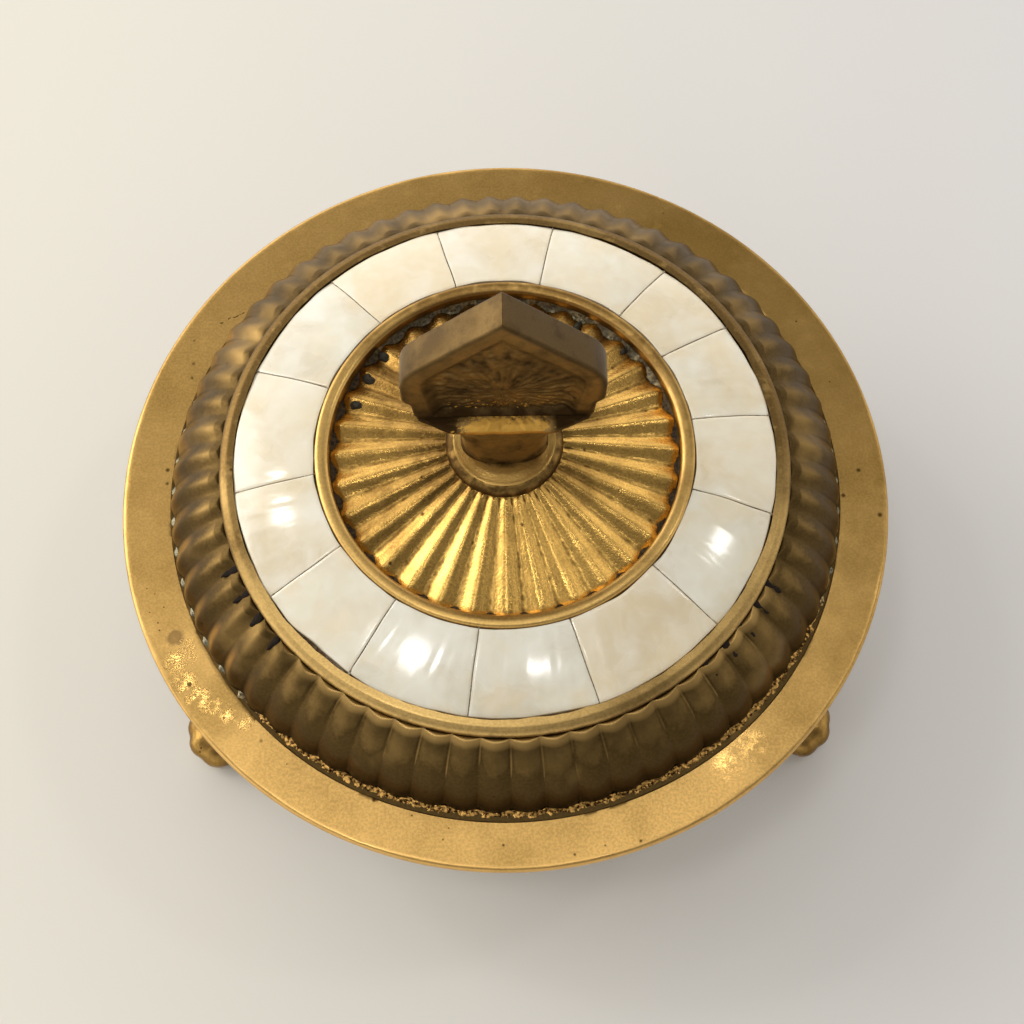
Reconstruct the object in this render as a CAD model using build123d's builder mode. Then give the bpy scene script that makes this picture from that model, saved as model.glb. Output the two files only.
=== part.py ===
from build123d import *
import os
from math import cos, radians, sin, sqrt, tan

# Footed trinket box, in millimetres, +Z up, standing on the plane Z = 0.
# The lid lifts straight off the bowl along the box's upright centre line.

# Overall size: height of the lid's flange above the table, its radius, and the toes' reach past it
flange_top = 53.0
flange_radius = 75.0
toe_overhang = 5.0
foot_angles = {"foot_back": 90.0, "foot_left": 210.0, "foot_right": 330.0}

# Flange ring of the lid, with a rounded outer edge
flange_width = 8.8
flange_thickness = 1.6
flange_edge_round = 0.7
flange_arris = 0.3

# Fluted skirt of the lid: a quarter of an ellipse in section, with convex lobes
lobe_count = 64
lobe_crest_angle = -86.6
lobe_depth = 1.3
skirt_wall = 1.2
skirt_height = 12.4
skirt_overhang = 9.7
skirt_roundness = 0.8
lip_width = 1.6
lip_rise = 0.15
lip_fit = 0.05
skirt_solder_rise = 1.1
skirt_solder_width = 0.9

# Locating ring under the lid
locating_clearance = 0.6
locating_wall = 1.2
locating_depth = 5.4
locating_chamfer = 0.6

# Ring of mother-of-pearl tiles: its edge's height over the skirt, and its rise to the inner ring
bezel_width = 2.8
bezel_wall = 0.8
bezel_crown = 0.2
tile_width = 15.6
tile_edge_rise = 2.0
tile_rise = 3.5
tile_crown = 0.2
tile_thickness = 1.6
tile_fit = 0.05
joint_angle = 0.35
cement_drop = 0.15
first_joint_angle = 8.2
tile_spans = (23.0, 19.4, 27.5, 26.4, 26.8, 27.3, 29.2, 24.8, 23.5, 25.6, 26.4, 29.6, 27.5)

# Inner ring, sunburst and the dished plate under them
plate_thickness = 1.2
plate_overlap = 3.9
plate_fit = 0.3
ring_width = 2.6
ring_crown = 0.4
ring_step = 1.0
ring_depth = 4.1
sunburst_gap = 1.8
sunburst_lobes = 32
sunburst_rim_thickness = 1.8
sunburst_rim_depth = 1.0
sunburst_solder_rise = 1.5
sunburst_solder_slope = 0.45
solder_fit = 0.05
hub_rise = 4.4
hub_thickness = 1.3
hub_margin = 0.3
hub_crest_rise = 0.2
hub_lobe_depth = 0.36

# Collar and knob
collar_base_radius = 10.9
collar_top_radius = 9.3
collar_height = 1.9
collar_bulge = 0.3
knob_height = 47.1
knob_half_width = 17.5
knob_thickness = 6.2
knob_shoulder_round = 9.6
knob_edge_round = 0.45
notch_height = 21.4
notch_depth = 1.6
notch_lean = 0.2
shelf_height = 15.6
shelf_width = 30.4
leaf_corner_margin = 0.4
leaf_foot_share = 0.62
shelf_depth = 11.4
neck_width = 15.2
neck_depth = 10.4
oval_corners = 16
panel_border = 3.2
panel_sink = 1.1
stud_radius = 2.5
stud_hole_clearance = 0.15
thread_clearance = 0.05
stud_grip = 10.5
stud_end = 1.0
washer_radius = 6.0
washer_thickness = 0.8
nut_across_flats = 8.0
nut_height = 3.2

# Bowl, with lobes like the skirt's, and the flat ring round its mouth
seat_gap = 0.25
rim_thickness = 1.3
rim_setback = 1.8
mouth_flare = 1.4
bowl_foot_radius = 38.0
bowl_ground_clearance = 10.0
bowl_roundness = 2.65
bowl_wall = 1.2
bowl_floor = 1.4

# Cast feet: a leg whose widest place, the calf, lies on the bowl's wall, and a paw of three toes.
# Each leg station is a share of the calf's height, a share of the way from the calf out to the
# toes, a half width and a half thickness.
calf_drop = 18.85
calf_stand_off = 1.3
leg_stations = (
    (1.27, 0.18, 3.4, 0.8),
    (1.19, 0.12, 6.2, 1.9),
    (1.0, 0.0, 8.0, 3.0),
    (0.78, -0.17, 6.8, 3.7),
    (0.55, -0.22, 5.2, 3.6),
    (0.35, 0.08, 5.0, 3.5),
    (0.22, 0.5, 5.4, 3.2),
    (0.13, 0.95, 4.4, 2.2),
)
toe_count = 3
toe_length = 14.0
toe_radius = 3.5
toe_pitch = 4.4
toe_setback = 1.2
toe_splay = 12.0
toe_axis_height = 3.1
sole_half_length = 5.6
sole_half_width = 6.0
sole_height = 2.4
envelope_fit = 0.05
rivet_radius = 1.6
rivet_clearance = 0.1
rivet_grip = 3.4
rivet_end_gap = 0.2
rivet_bite = 0.1
rivet_head_radius = 3.0
rivet_head_height = 1.3
rivet_head_taper = 30.0

# Heights above the flange
tile_outer_height = skirt_height + tile_edge_rise
tile_inner_height = tile_outer_height + tile_rise
ring_seat_height = tile_inner_height - ring_depth
sunburst_rim_crest = ring_seat_height + sunburst_rim_thickness
hub_plate_height = ring_seat_height + hub_rise
hub_seat_height = hub_plate_height + hub_thickness
hub_crest = hub_seat_height + hub_crest_rise

# Radii from the outside in, and heights from the flange down
flange_bore = flange_radius - flange_width
skirt_foot_radius = flange_bore - lip_width
skirt_top_radius = skirt_foot_radius - skirt_overhang
bezel_radius = skirt_top_radius - lobe_depth * skirt_top_radius / skirt_foot_radius
tile_outer_radius = bezel_radius - bezel_width
tile_inner_radius = tile_outer_radius - tile_width
ring_bore = tile_inner_radius - ring_width
sunburst_radius = ring_bore - sunburst_gap
hub_radius = collar_base_radius + hub_margin
bowl_mouth_radius = skirt_foot_radius + mouth_flare
rim_radius = flange_radius - rim_setback
toe_reach = flange_radius + toe_overhang
lid_underside = flange_top - flange_thickness
rim_top = lid_underside - seat_gap
rim_underside = rim_top - rim_thickness
bowl_depth = rim_underside - bowl_ground_clearance
skirt_top = flange_top + skirt_height
collar_seat = flange_top + hub_seat_height
collar_top = collar_seat + collar_height

# Centre line of the box, set so that the whole part's outline is centred on the origin
axis_y = (flange_radius - toe_reach) / 2
spindle = Axis((0, axis_y, 0), (0, 0, 1))
upright = Plane(origin=(0, axis_y, 0), x_dir=(1, 0, 0), z_dir=(0, -1, 0))
os.makedirs("parts", exist_ok=True)


def level(height):
    """A level plane at the given height, centred on the box."""
    return Plane((0, axis_y, height))


def swell_reach(distance, wall, inset, rise):
    """Radius of an elliptical wall at a distance from its widest end, moved in by inset and rise."""
    widest, narrowest, length, roundness = wall
    swell = length + roundness
    end_share = sqrt(1 - (length / swell) ** 2)
    spread = (widest - narrowest) / (1 - end_share)
    share = sqrt(1 - (distance / (swell - rise)) ** 2)
    return widest - spread + (spread - inset) * share


def skirt_reach(height, inset=0.0, rise=0.0):
    """Radius of the skirt's lobe crests at a height above the flange."""
    wall = (skirt_foot_radius, skirt_top_radius, skirt_height, skirt_roundness)
    return swell_reach(height, wall, inset, rise)


def bowl_reach(drop, inset=0.0, rise=0.0):
    """Radius of the bowl's lobe crests at a drop below the rim."""
    wall = (bowl_mouth_radius, bowl_foot_radius, bowl_depth, bowl_roundness)
    return swell_reach(drop, wall, inset, rise)


def polar_point(radius, angle):
    """A point of a level sketch, from its radius and angle."""
    return (radius * cos(radians(angle)), radius * sin(radians(angle)))


def scallops(crest_radius, depth):
    """Closed outline of convex lobes round the box."""
    pitch = 360 / lobe_count
    for lobe in range(lobe_count):
        start = lobe_crest_angle + (lobe - 0.5) * pitch
        ThreePointArc(
            polar_point(crest_radius - depth, start),
            polar_point(crest_radius, start + pitch / 2),
            polar_point(crest_radius - depth, start + pitch),
        )


def lobed_depth(crest_radius, widest):
    """Depth of the lobes, which shrink with the wall they stand on."""
    return lobe_depth * crest_radius / widest


# Flange ring: a flat ring with a rounded outer edge
with BuildPart() as flange_ring:
    with BuildSketch(upright):
        with Locations((flange_bore, lid_underside)):
            Rectangle(flange_radius - flange_bore, flange_thickness, align=(Align.MIN, Align.MIN))
    revolve(axis=spindle)
    outer_edges = flange_ring.edges().filter_by(GeomType.CIRCLE).group_by(SortBy.RADIUS)[-1]
    fillet(outer_edges.sort_by(Axis.Z)[-1], flange_edge_round)
    bottom_edge = flange_ring.edges().group_by(Axis.Z)[0].sort_by(SortBy.RADIUS)[-1]
    fillet(bottom_edge, flange_arris)
flange_ring.part.label = "flange_ring"
export_step(flange_ring.part, "parts/flange_ring.step")

# Fluted skirt: lobed dome wall, hollow inside, with a turned-out lip and a turned-in top
skirt_stations = (0.0, 0.25, 0.5, 0.75, 0.9, 1.0)
lip_radius = flange_bore - lip_fit
skirt_inset = lobe_depth + skirt_wall
opening_radius = bezel_radius - plate_overlap
with BuildPart() as fluted_skirt:
    for station in skirt_stations:
        crest_radius = skirt_reach(station * skirt_height)
        with BuildSketch(level(flange_top + station * skirt_height)):
            with BuildLine():
                scallops(crest_radius, lobed_depth(crest_radius, skirt_foot_radius))
            make_face()
    loft()
    with BuildSketch(level(lid_underside)):
        Circle(lip_radius)
    extrude(amount=flange_thickness + lip_rise)
    with BuildSketch(upright):
        with BuildLine():
            cavity_wall = [
                (skirt_reach(share * (skirt_height - skirt_wall), skirt_inset, skirt_wall),
                 flange_top + share * (skirt_height - skirt_wall))
                for share in skirt_stations
            ]
            Polyline((0, skirt_top - skirt_wall), (0, lid_underside),
                     (skirt_foot_radius - skirt_inset, lid_underside), cavity_wall[0])
            Spline(*cavity_wall)
            Line(cavity_wall[-1], (0, skirt_top - skirt_wall))
        make_face()
    revolve(axis=spindle, mode=Mode.SUBTRACT)
    with BuildSketch(level(skirt_top)):
        Circle(opening_radius)
    extrude(amount=-2 * skirt_wall, mode=Mode.SUBTRACT)
fluted_skirt.part.label = "fluted_skirt"
export_step(fluted_skirt.part, "parts/fluted_skirt.step")

# Skirt solder: a fillet run round the lobes' feet and up their valleys
solder_root = skirt_foot_radius - lobe_depth
with BuildPart() as skirt_solder:
    with BuildSketch(upright):
        with BuildLine():
            lip_top = flange_top + lip_rise
            Polyline((solder_root, lip_top + skirt_solder_rise), (solder_root, lip_top),
                     (skirt_foot_radius + skirt_solder_width, lip_top), close=True)
        make_face()
    revolve(axis=spindle)
    add(fluted_skirt.part, mode=Mode.SUBTRACT)
skirt_solder.part.label = "skirt_solder"
export_step(skirt_solder.part, "parts/skirt_solder.step")

# Locating ring: a short hoop under the lip that drops into the bowl's mouth
bowl_inset = lobe_depth + bowl_wall
locating_radius = bowl_mouth_radius - bowl_inset - locating_clearance
with BuildPart() as locating_ring:
    with BuildSketch(level(lid_underside)):
        Circle(locating_radius)
        Circle(locating_radius - locating_wall, mode=Mode.SUBTRACT)
    extrude(amount=-locating_depth)
    lower_edges = locating_ring.edges().group_by(Axis.Z)[0]
    chamfer(lower_edges.sort_by(SortBy.RADIUS)[-1], locating_chamfer)
locating_ring.part.label = "locating_ring"
export_step(locating_ring.part, "parts/locating_ring.step")

# Lid plate: a dished sheet from the skirt's top to the knob's stud
stud_hole_radius = stud_radius + stud_hole_clearance
bed_radius = opening_radius - solder_fit
half_pitch = radians(180 / sunburst_lobes)
sunburst_corner = sunburst_radius / cos(half_pitch)
plate_profile = [
    (bezel_radius, skirt_top - skirt_wall),
    (bed_radius, skirt_top - skirt_wall),
    (tile_inner_radius + plate_fit, flange_top + ring_seat_height),
    (sunburst_corner, flange_top + ring_seat_height),
    (hub_radius, flange_top + hub_plate_height),
    (stud_hole_radius, flange_top + hub_plate_height),
]
plate_back = [(reach, height - plate_thickness) for reach, height in reversed(plate_profile)]
with BuildPart() as lid_plate:
    with BuildSketch(upright):
        with BuildLine():
            Polyline(*plate_profile, *plate_back, close=True)
        make_face()
    revolve(axis=spindle)
lid_plate.part.label = "lid_plate"
export_step(lid_plate.part, "parts/lid_plate.step")

# Outer bezel: a hoop with a rounded top that stands on the skirt's ledge
with BuildPart() as outer_bezel:
    with BuildSketch(upright):
        with BuildLine():
            bezel_top = flange_top + tile_outer_height + bezel_crown
            inner_top = (tile_outer_radius, bezel_top)
            outer_top = (bezel_radius, skirt_top + bezel_wall)
            Polyline(inner_top, (tile_outer_radius, skirt_top), (bezel_radius, skirt_top), outer_top)
            bezel_middle = (tile_outer_radius + bezel_radius) / 2
            ThreePointArc(outer_top, (bezel_middle, bezel_top - bezel_crown), inner_top)
        make_face()
    revolve(axis=spindle)
outer_bezel.part.label = "outer_bezel"
export_step(outer_bezel.part, "parts/outer_bezel.step")

# Mother-of-pearl tiles: sectors of a crowned, sloping ring, each cut to its own width
tile_outer_edge = (tile_outer_radius - tile_fit, flange_top + tile_outer_height)
tile_inner_edge = (tile_inner_radius + tile_fit, flange_top + tile_inner_height)
tile_middle = (
    (tile_outer_edge[0] + tile_inner_edge[0]) / 2,
    (tile_outer_edge[1] + tile_inner_edge[1]) / 2 + tile_crown,
)
tile_starts = [first_joint_angle + sum(tile_spans[:tile]) for tile in range(len(tile_spans) + 1)]
tile_ends = tile_starts[1:] + [first_joint_angle + 360]
tiles = []
for number, (tile_start, tile_end) in enumerate(zip(tile_starts, tile_ends), start=1):
    start_angle = tile_start + joint_angle / 2
    start_direction = (cos(radians(start_angle)), sin(radians(start_angle)), 0)
    tile_plane = Plane(
        origin=(0, axis_y, 0),
        x_dir=start_direction,
        z_dir=(start_direction[1], -start_direction[0], 0),
    )
    with BuildPart() as pearl_tile:
        with BuildSketch(tile_plane):
            with BuildLine():
                ThreePointArc(tile_outer_edge, tile_middle, tile_inner_edge)
                Polyline(
                    tile_inner_edge,
                    (tile_inner_edge[0], tile_inner_edge[1] - tile_thickness),
                    (tile_outer_edge[0], tile_outer_edge[1] - tile_thickness),
                    tile_outer_edge,
                )
            make_face()
        revolve(axis=spindle, revolution_arc=tile_end - tile_start - joint_angle)
    pearl_tile.part.label = f"pearl_tile_{number:02d}"
    export_step(pearl_tile.part, f"parts/pearl_tile_{number:02d}.step")
    tiles.append(pearl_tile.part)

# Inlay cement: the bed under the tiles, which rises in the joints between them
with BuildPart() as inlay_cement:
    with BuildSketch(upright):
        with BuildLine():
            Polyline(
                (tile_outer_edge[0], tile_outer_edge[1] - cement_drop),
                (tile_outer_edge[0], skirt_top),
                (bed_radius, skirt_top),
                (bed_radius, skirt_top - skirt_wall),
                (tile_inner_radius + plate_fit, flange_top + ring_seat_height),
                (tile_inner_edge[0], flange_top + ring_seat_height),
                (tile_inner_edge[0], tile_inner_edge[1] - cement_drop),
                close=True,
            )
        make_face()
    revolve(axis=spindle)
    add(tiles, mode=Mode.SUBTRACT)
inlay_cement.part.label = "inlay_cement"
export_step(inlay_cement.part, "parts/inlay_cement.step")

# Inner ring: a half-round hoop at the tiles' inner edge
with BuildPart() as inner_ring:
    with BuildSketch(upright):
        with BuildLine():
            ring_foot = flange_top + ring_seat_height
            ring_outer_top = (tile_inner_radius, flange_top + tile_inner_height)
            ring_inner_top = (ring_bore, flange_top + tile_inner_height - ring_step)
            Polyline(ring_outer_top, (tile_inner_radius, ring_foot), (ring_bore, ring_foot), ring_inner_top)
            ring_middle = (tile_inner_radius + ring_bore) / 2
            ThreePointArc(ring_inner_top, (ring_middle, flange_top + tile_inner_height + ring_crown),
                          ring_outer_top)
        make_face()
    revolve(axis=spindle)
inner_ring.part.label = "inner_ring"
export_step(inner_ring.part, "parts/inner_ring.step")

# Sunburst disc: convex lobes that taper to the hub, each a loft between two arched ends
plate_slope = (hub_plate_height - ring_seat_height) / (sunburst_corner - hub_radius)
with BuildPart() as sunburst_lobe:
    for reach, crest, depth in (
        (hub_radius, hub_crest, hub_lobe_depth),
        (sunburst_radius, sunburst_rim_crest, sunburst_rim_depth),
    ):
        half_width = reach * tan(half_pitch)
        base = hub_plate_height - plate_slope * (reach - hub_radius)
        with BuildSketch(Plane(origin=(reach, 0, flange_top), x_dir=(0, 1, 0), z_dir=(1, 0, 0))):
            with BuildLine():
                Polyline((half_width, crest - depth), (half_width, base), (-half_width, base),
                         (-half_width, crest - depth))
                ThreePointArc((-half_width, crest - depth), (0, crest), (half_width, crest - depth))
            make_face()
    loft()
with BuildPart(level(0)) as sunburst_disc:
    with BuildSketch(level(flange_top + hub_plate_height)):
        Circle(hub_radius / cos(half_pitch))
    extrude(amount=hub_seat_height - hub_plate_height)
    with PolarLocations(0, sunburst_lobes, start_angle=-90):
        add(sunburst_lobe.part)
    with BuildSketch(level(flange_top + hub_plate_height)):
        Circle(stud_hole_radius)
    extrude(amount=collar_height, mode=Mode.SUBTRACT)
sunburst_disc.part.label = "sunburst_disc"
export_step(sunburst_disc.part, "parts/sunburst_disc.step")

# Sunburst solder: the filler between the sunburst's edge and the inner ring
with BuildPart() as sunburst_solder:
    with BuildSketch(upright):
        with BuildLine():
            filler_root = sunburst_corner + solder_fit
            filler_edge = ring_bore - solder_fit
            filler_foot = flange_top + ring_seat_height
            filler_top = filler_foot + sunburst_solder_rise
            Polyline((filler_root, filler_top - sunburst_solder_slope), (filler_root, filler_foot),
                     (filler_edge, filler_foot), (filler_edge, filler_top), close=True)
        make_face()
    revolve(axis=spindle)
sunburst_solder.part.label = "sunburst_solder"
export_step(sunburst_solder.part, "parts/sunburst_solder.step")

# Knob collar: a low turned cone with a bulging side
with BuildPart() as knob_collar:
    with BuildSketch(upright):
        with BuildLine():
            Polyline((collar_top_radius, collar_top), (stud_hole_radius, collar_top),
                     (stud_hole_radius, collar_seat), (collar_base_radius, collar_seat))
            ThreePointArc(
                (collar_base_radius, collar_seat),
                ((collar_base_radius + collar_top_radius) / 2 + collar_bulge,
                 (collar_seat + collar_top) / 2 + collar_bulge),
                (collar_top_radius, collar_top),
            )
        make_face()
    revolve(axis=spindle)
knob_collar.part.label = "knob_collar"
export_step(knob_collar.part, "parts/knob_collar.step")


def leaf_line(inset, lower_side):
    """Closed front line of the knob's leaf: its gable moved in by inset, then the given lower side."""
    peak = knob_height - inset * sqrt(2)
    reach = knob_half_width - inset
    right_side = [(reach, peak - reach), *lower_side]
    left_side = [(-across, height) for across, height in reversed(right_side)]
    Polyline((0, peak), *right_side, *left_side, close=True)


def oval_line(width, depth, squareness):
    """Closed superellipse of a width and a depth: a squareness of 2 is an ellipse, and more is squarer."""
    corners = [radians(360 / oval_corners * corner) for corner in range(oval_corners)]
    Spline(
        *[
            (
                width / 2 * abs(cos(turn)) ** (2 / squareness) * (1 if cos(turn) > 0 else -1),
                depth / 2 * abs(sin(turn)) ** (2 / squareness) * (1 if sin(turn) > 0 else -1),
            )
            for turn in corners
        ],
        periodic=True,
    )


# Knob: a gabled leaf on a flaring neck, with a shelf and a sunk panel on both faces.
# Each neck station is a share of the shelf's height, of its widening and of its deepening.
knob_face = Plane(origin=(0, axis_y, collar_top), x_dir=(1, 0, 0), z_dir=(0, -1, 0))
neck_stations = (
    (0.0, 0.0, 0.0, 2.2),
    (0.35, 0.06, 0.0, 2.2),
    (leaf_foot_share, 0.28, 0.15, 2.5),
    (0.93, 0.93, 0.92, 3.6),
    (1.0, 1.0, 1.0, 4.0),
)
leaf_foot = leaf_foot_share * shelf_height
leaf_side = shelf_width / 2 + leaf_corner_margin
with BuildPart() as knob:
    with BuildSketch(knob_face) as leaf_face:
        with BuildLine():
            leaf_line(0, [
                (knob_half_width - notch_lean, notch_height),
                (knob_half_width - notch_depth, notch_height - notch_depth),
                (leaf_side, shelf_height),
                (neck_width / 2, leaf_foot),
            ])
        make_face()
        leaf_sides = leaf_face.vertices().group_by(Axis.X)
        fillet(leaf_sides[0] + leaf_sides[-1], knob_shoulder_round)
    extrude(amount=knob_thickness / 2, both=True)
    leaf_edges = knob.edges().group_by(Axis.Y)
    fillet(leaf_edges[0] + leaf_edges[-1], knob_edge_round)
    for climb, widening, deepening, squareness in neck_stations:
        with BuildSketch(level(collar_top + climb * shelf_height)):
            with BuildLine():
                oval_line(
                    neck_width + widening * (shelf_width - neck_width),
                    neck_depth + deepening * (shelf_depth - neck_depth),
                    squareness,
                )
            make_face()
    loft()
    for side in (1, -1):
        with BuildSketch(knob_face.offset(side * (knob_thickness / 2 - panel_sink))) as panel_face:
            with BuildLine():
                leaf_line(panel_border, [(leaf_side - panel_border, shelf_height)])
            make_face()
            panel_sides = panel_face.vertices().group_by(Axis.X)
            fillet(panel_sides[0] + panel_sides[-1], knob_shoulder_round - panel_border)
        extrude(amount=side * knob_thickness, mode=Mode.SUBTRACT)
    with BuildSketch(level(collar_top)):
        Circle(stud_radius + thread_clearance)
    extrude(amount=stud_grip + stud_end, mode=Mode.SUBTRACT)
knob.part.label = "knob"
export_step(knob.part, "parts/knob.step")

# Knob stud, washer and nut: they clamp the knob through the collar, sunburst and plate
plate_underside = flange_top + hub_plate_height - plate_thickness
nut_top = plate_underside - washer_thickness
stud_foot = nut_top - nut_height - stud_end
with BuildPart() as knob_stud:
    with BuildSketch(level(stud_foot)):
        Circle(stud_radius)
    extrude(amount=collar_top + stud_grip - stud_foot)
    chamfer(knob_stud.edges().filter_by(GeomType.CIRCLE), stud_radius / 6)
knob_stud.part.label = "knob_stud"
export_step(knob_stud.part, "parts/knob_stud.step")

with BuildPart() as knob_washer:
    with BuildSketch(level(nut_top)):
        Circle(washer_radius)
        Circle(stud_hole_radius, mode=Mode.SUBTRACT)
    extrude(amount=washer_thickness)
knob_washer.part.label = "knob_washer"
export_step(knob_washer.part, "parts/knob_washer.step")

with BuildPart() as knob_nut:
    with BuildSketch(level(nut_top - nut_height)):
        RegularPolygon(nut_across_flats / 2, 6, major_radius=False)
        Circle(stud_radius + thread_clearance, mode=Mode.SUBTRACT)
    extrude(amount=nut_height)
knob_nut.part.label = "knob_nut"
export_step(knob_nut.part, "parts/knob_nut.step")

# Place and direction of each rivet: square to the bowl's wall at the calf
calf_height = rim_underside - calf_drop
calf_reach = bowl_reach(calf_drop) + calf_stand_off
bowl_fall = bowl_reach(calf_drop - bowl_wall / 2) - bowl_reach(calf_drop + bowl_wall / 2)
wall_normal = Vector(bowl_wall, 0, -bowl_fall).normalized()
inner_wall = Vector(bowl_reach(calf_drop, bowl_inset, bowl_inset), 0, calf_height)
rivet_seat = Plane(origin=inner_wall, x_dir=(0, 1, 0), z_dir=wall_normal)
rivet_length = bowl_reach(calf_drop) - inner_wall.X + rivet_grip

# Bowl: a lobed wall that swells from a flat foot to the mouth
bowl_stations = (0.0, 0.2, 0.4, 0.6, 0.78, 0.92, 1.0)
with BuildPart() as rivet_hole:
    with BuildSketch(rivet_seat):
        Circle(rivet_radius + rivet_clearance)
    extrude(amount=2 * bowl_inset, both=True)
with BuildPart() as bowl_hollow:
    with BuildSketch(Plane.XZ):
        with BuildLine():
            hollow_depth = bowl_depth - bowl_floor
            hollow_wall = [
                (bowl_reach(share * hollow_depth, bowl_inset, bowl_inset - bowl_floor / 2),
                 rim_underside - share * hollow_depth)
                for share in bowl_stations
            ]
            Polyline((0, rim_underside - hollow_depth), (0, rim_underside), hollow_wall[0])
            Spline(*hollow_wall)
            Line(hollow_wall[-1], (0, rim_underside - hollow_depth))
        make_face()
    revolve(axis=Axis.Z)
with BuildPart(level(0)) as bowl:
    for station in bowl_stations:
        crest_radius = bowl_reach(station * bowl_depth)
        with BuildSketch(level(rim_underside - station * bowl_depth)):
            with BuildLine():
                scallops(crest_radius, lobed_depth(crest_radius, bowl_mouth_radius))
            make_face()
    loft()
    add(bowl_hollow.part, mode=Mode.SUBTRACT)
    for foot_angle in foot_angles.values():
        with PolarLocations(0, 1, start_angle=foot_angle):
            add(rivet_hole.part, mode=Mode.SUBTRACT)
bowl.part.label = "bowl"
export_step(bowl.part, "parts/bowl.step")

# Bowl rim: a flat ring soldered on the bowl's mouth
with BuildPart() as bowl_rim:
    with BuildSketch(level(rim_underside)):
        Circle(rim_radius)
        Circle(bowl_mouth_radius - bowl_inset, mode=Mode.SUBTRACT)
    extrude(amount=rim_thickness)
    rim_edges = bowl_rim.edges().filter_by(GeomType.CIRCLE).group_by(SortBy.RADIUS)[-1]
    fillet(rim_edges, flange_arris)
bowl_rim.part.label = "bowl_rim"
export_step(bowl_rim.part, "parts/bowl_rim.step")

# One toe, laid along X: a short bar with round ends
with BuildPart() as toe:
    with BuildSketch(Plane.XZ):
        with BuildLine():
            toe_straight = toe_length / 2 - toe_radius
            CenterArc((toe_straight, 0), toe_radius, 0, 90)
            Line((toe_straight, toe_radius), (-toe_straight, toe_radius))
            CenterArc((-toe_straight, 0), toe_radius, 90, 90)
            Line((-toe_length / 2, 0), (toe_length / 2, 0))
        make_face()
    revolve(axis=Axis.X)

# The round outer shape of the bowl over its lobes, which the feet are fitted against
with BuildPart() as bowl_envelope:
    with BuildSketch(Plane.XZ):
        with BuildLine():
            envelope_wall = [
                (bowl_reach(share * bowl_depth) + envelope_fit, rim_underside - share * bowl_depth)
                for share in bowl_stations
            ]
            Polyline((0, rim_underside - bowl_depth), (0, rim_underside), envelope_wall[0])
            Spline(*envelope_wall)
            Line(envelope_wall[-1], (0, rim_underside - bowl_depth))
        make_face()
    revolve(axis=Axis.Z)

# Paw: three toes spread over a flat sole
toe_middle = toe_reach - toe_length / 2
toe_steps = [toe_number - (toe_count - 1) / 2 for toe_number in range(toe_count)]
with BuildPart() as paw:
    for step in toe_steps:
        toe_place = (toe_middle - abs(step) * toe_setback, step * toe_pitch, toe_axis_height)
        with Locations(Location(toe_place, (0, 0, step * toe_splay))):
            add(toe.part)
    with BuildSketch(Plane((toe_middle, 0, 0))):
        Ellipse(sole_half_length, sole_half_width)
    extrude(amount=sole_height)
    with BuildSketch(Plane.XY):
        with Locations((toe_middle, 0)):
            Rectangle(2 * toe_length, 2 * toe_length)
    extrude(amount=-toe_length, mode=Mode.SUBTRACT)

# Foot casting: a bent leg that lies against the bowl, drilled for its rivet, on the paw
leg_line = [
    Vector(calf_reach + outward * (toe_middle - calf_reach), 0, climb * calf_height)
    for climb, outward, half_width, half_depth in leg_stations
]
with BuildPart() as foot_casting:
    for index, (climb, outward, half_width, half_depth) in enumerate(leg_stations):
        along = leg_line[min(index + 1, len(leg_line) - 1)] - leg_line[max(index - 1, 0)]
        with BuildSketch(Plane(origin=leg_line[index], x_dir=(0, 1, 0), z_dir=along)):
            Ellipse(half_width, half_depth)
    loft()
    add(bowl_envelope.part, mode=Mode.SUBTRACT)
    with BuildSketch(rivet_seat):
        Circle(rivet_radius + thread_clearance)
    extrude(amount=rivet_length, mode=Mode.SUBTRACT)
    add(paw.part)
for foot_name, foot_angle in foot_angles.items():
    with BuildPart(level(0)) as foot:
        with PolarLocations(0, 1, start_angle=foot_angle):
            add(foot_casting.part)
    foot.part.label = foot_name
    export_step(foot.part, f"parts/{foot_name}.step")

# Foot rivets: a shank through the wall into the casting, with a head closed on the bowl's inside
with BuildPart() as rivet:
    with BuildSketch(rivet_seat.offset(rivet_bite)):
        Circle(rivet_head_radius)
    extrude(amount=-rivet_head_height, taper=rivet_head_taper)
    add(bowl_hollow.part, mode=Mode.INTERSECT)
    with BuildSketch(rivet_seat.offset(-rivet_bite)):
        Circle(rivet_radius)
    extrude(amount=rivet_length - rivet_end_gap)
with BuildPart(level(0)) as foot_rivets:
    for foot_angle in foot_angles.values():
        with PolarLocations(0, 1, start_angle=foot_angle):
            add(rivet.part)
foot_rivets.part.label = "foot_rivets"
export_step(foot_rivets.part, "parts/foot_rivets.step")
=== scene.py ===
import bpy
import numpy as np
from mathutils import Matrix, Vector


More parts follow.
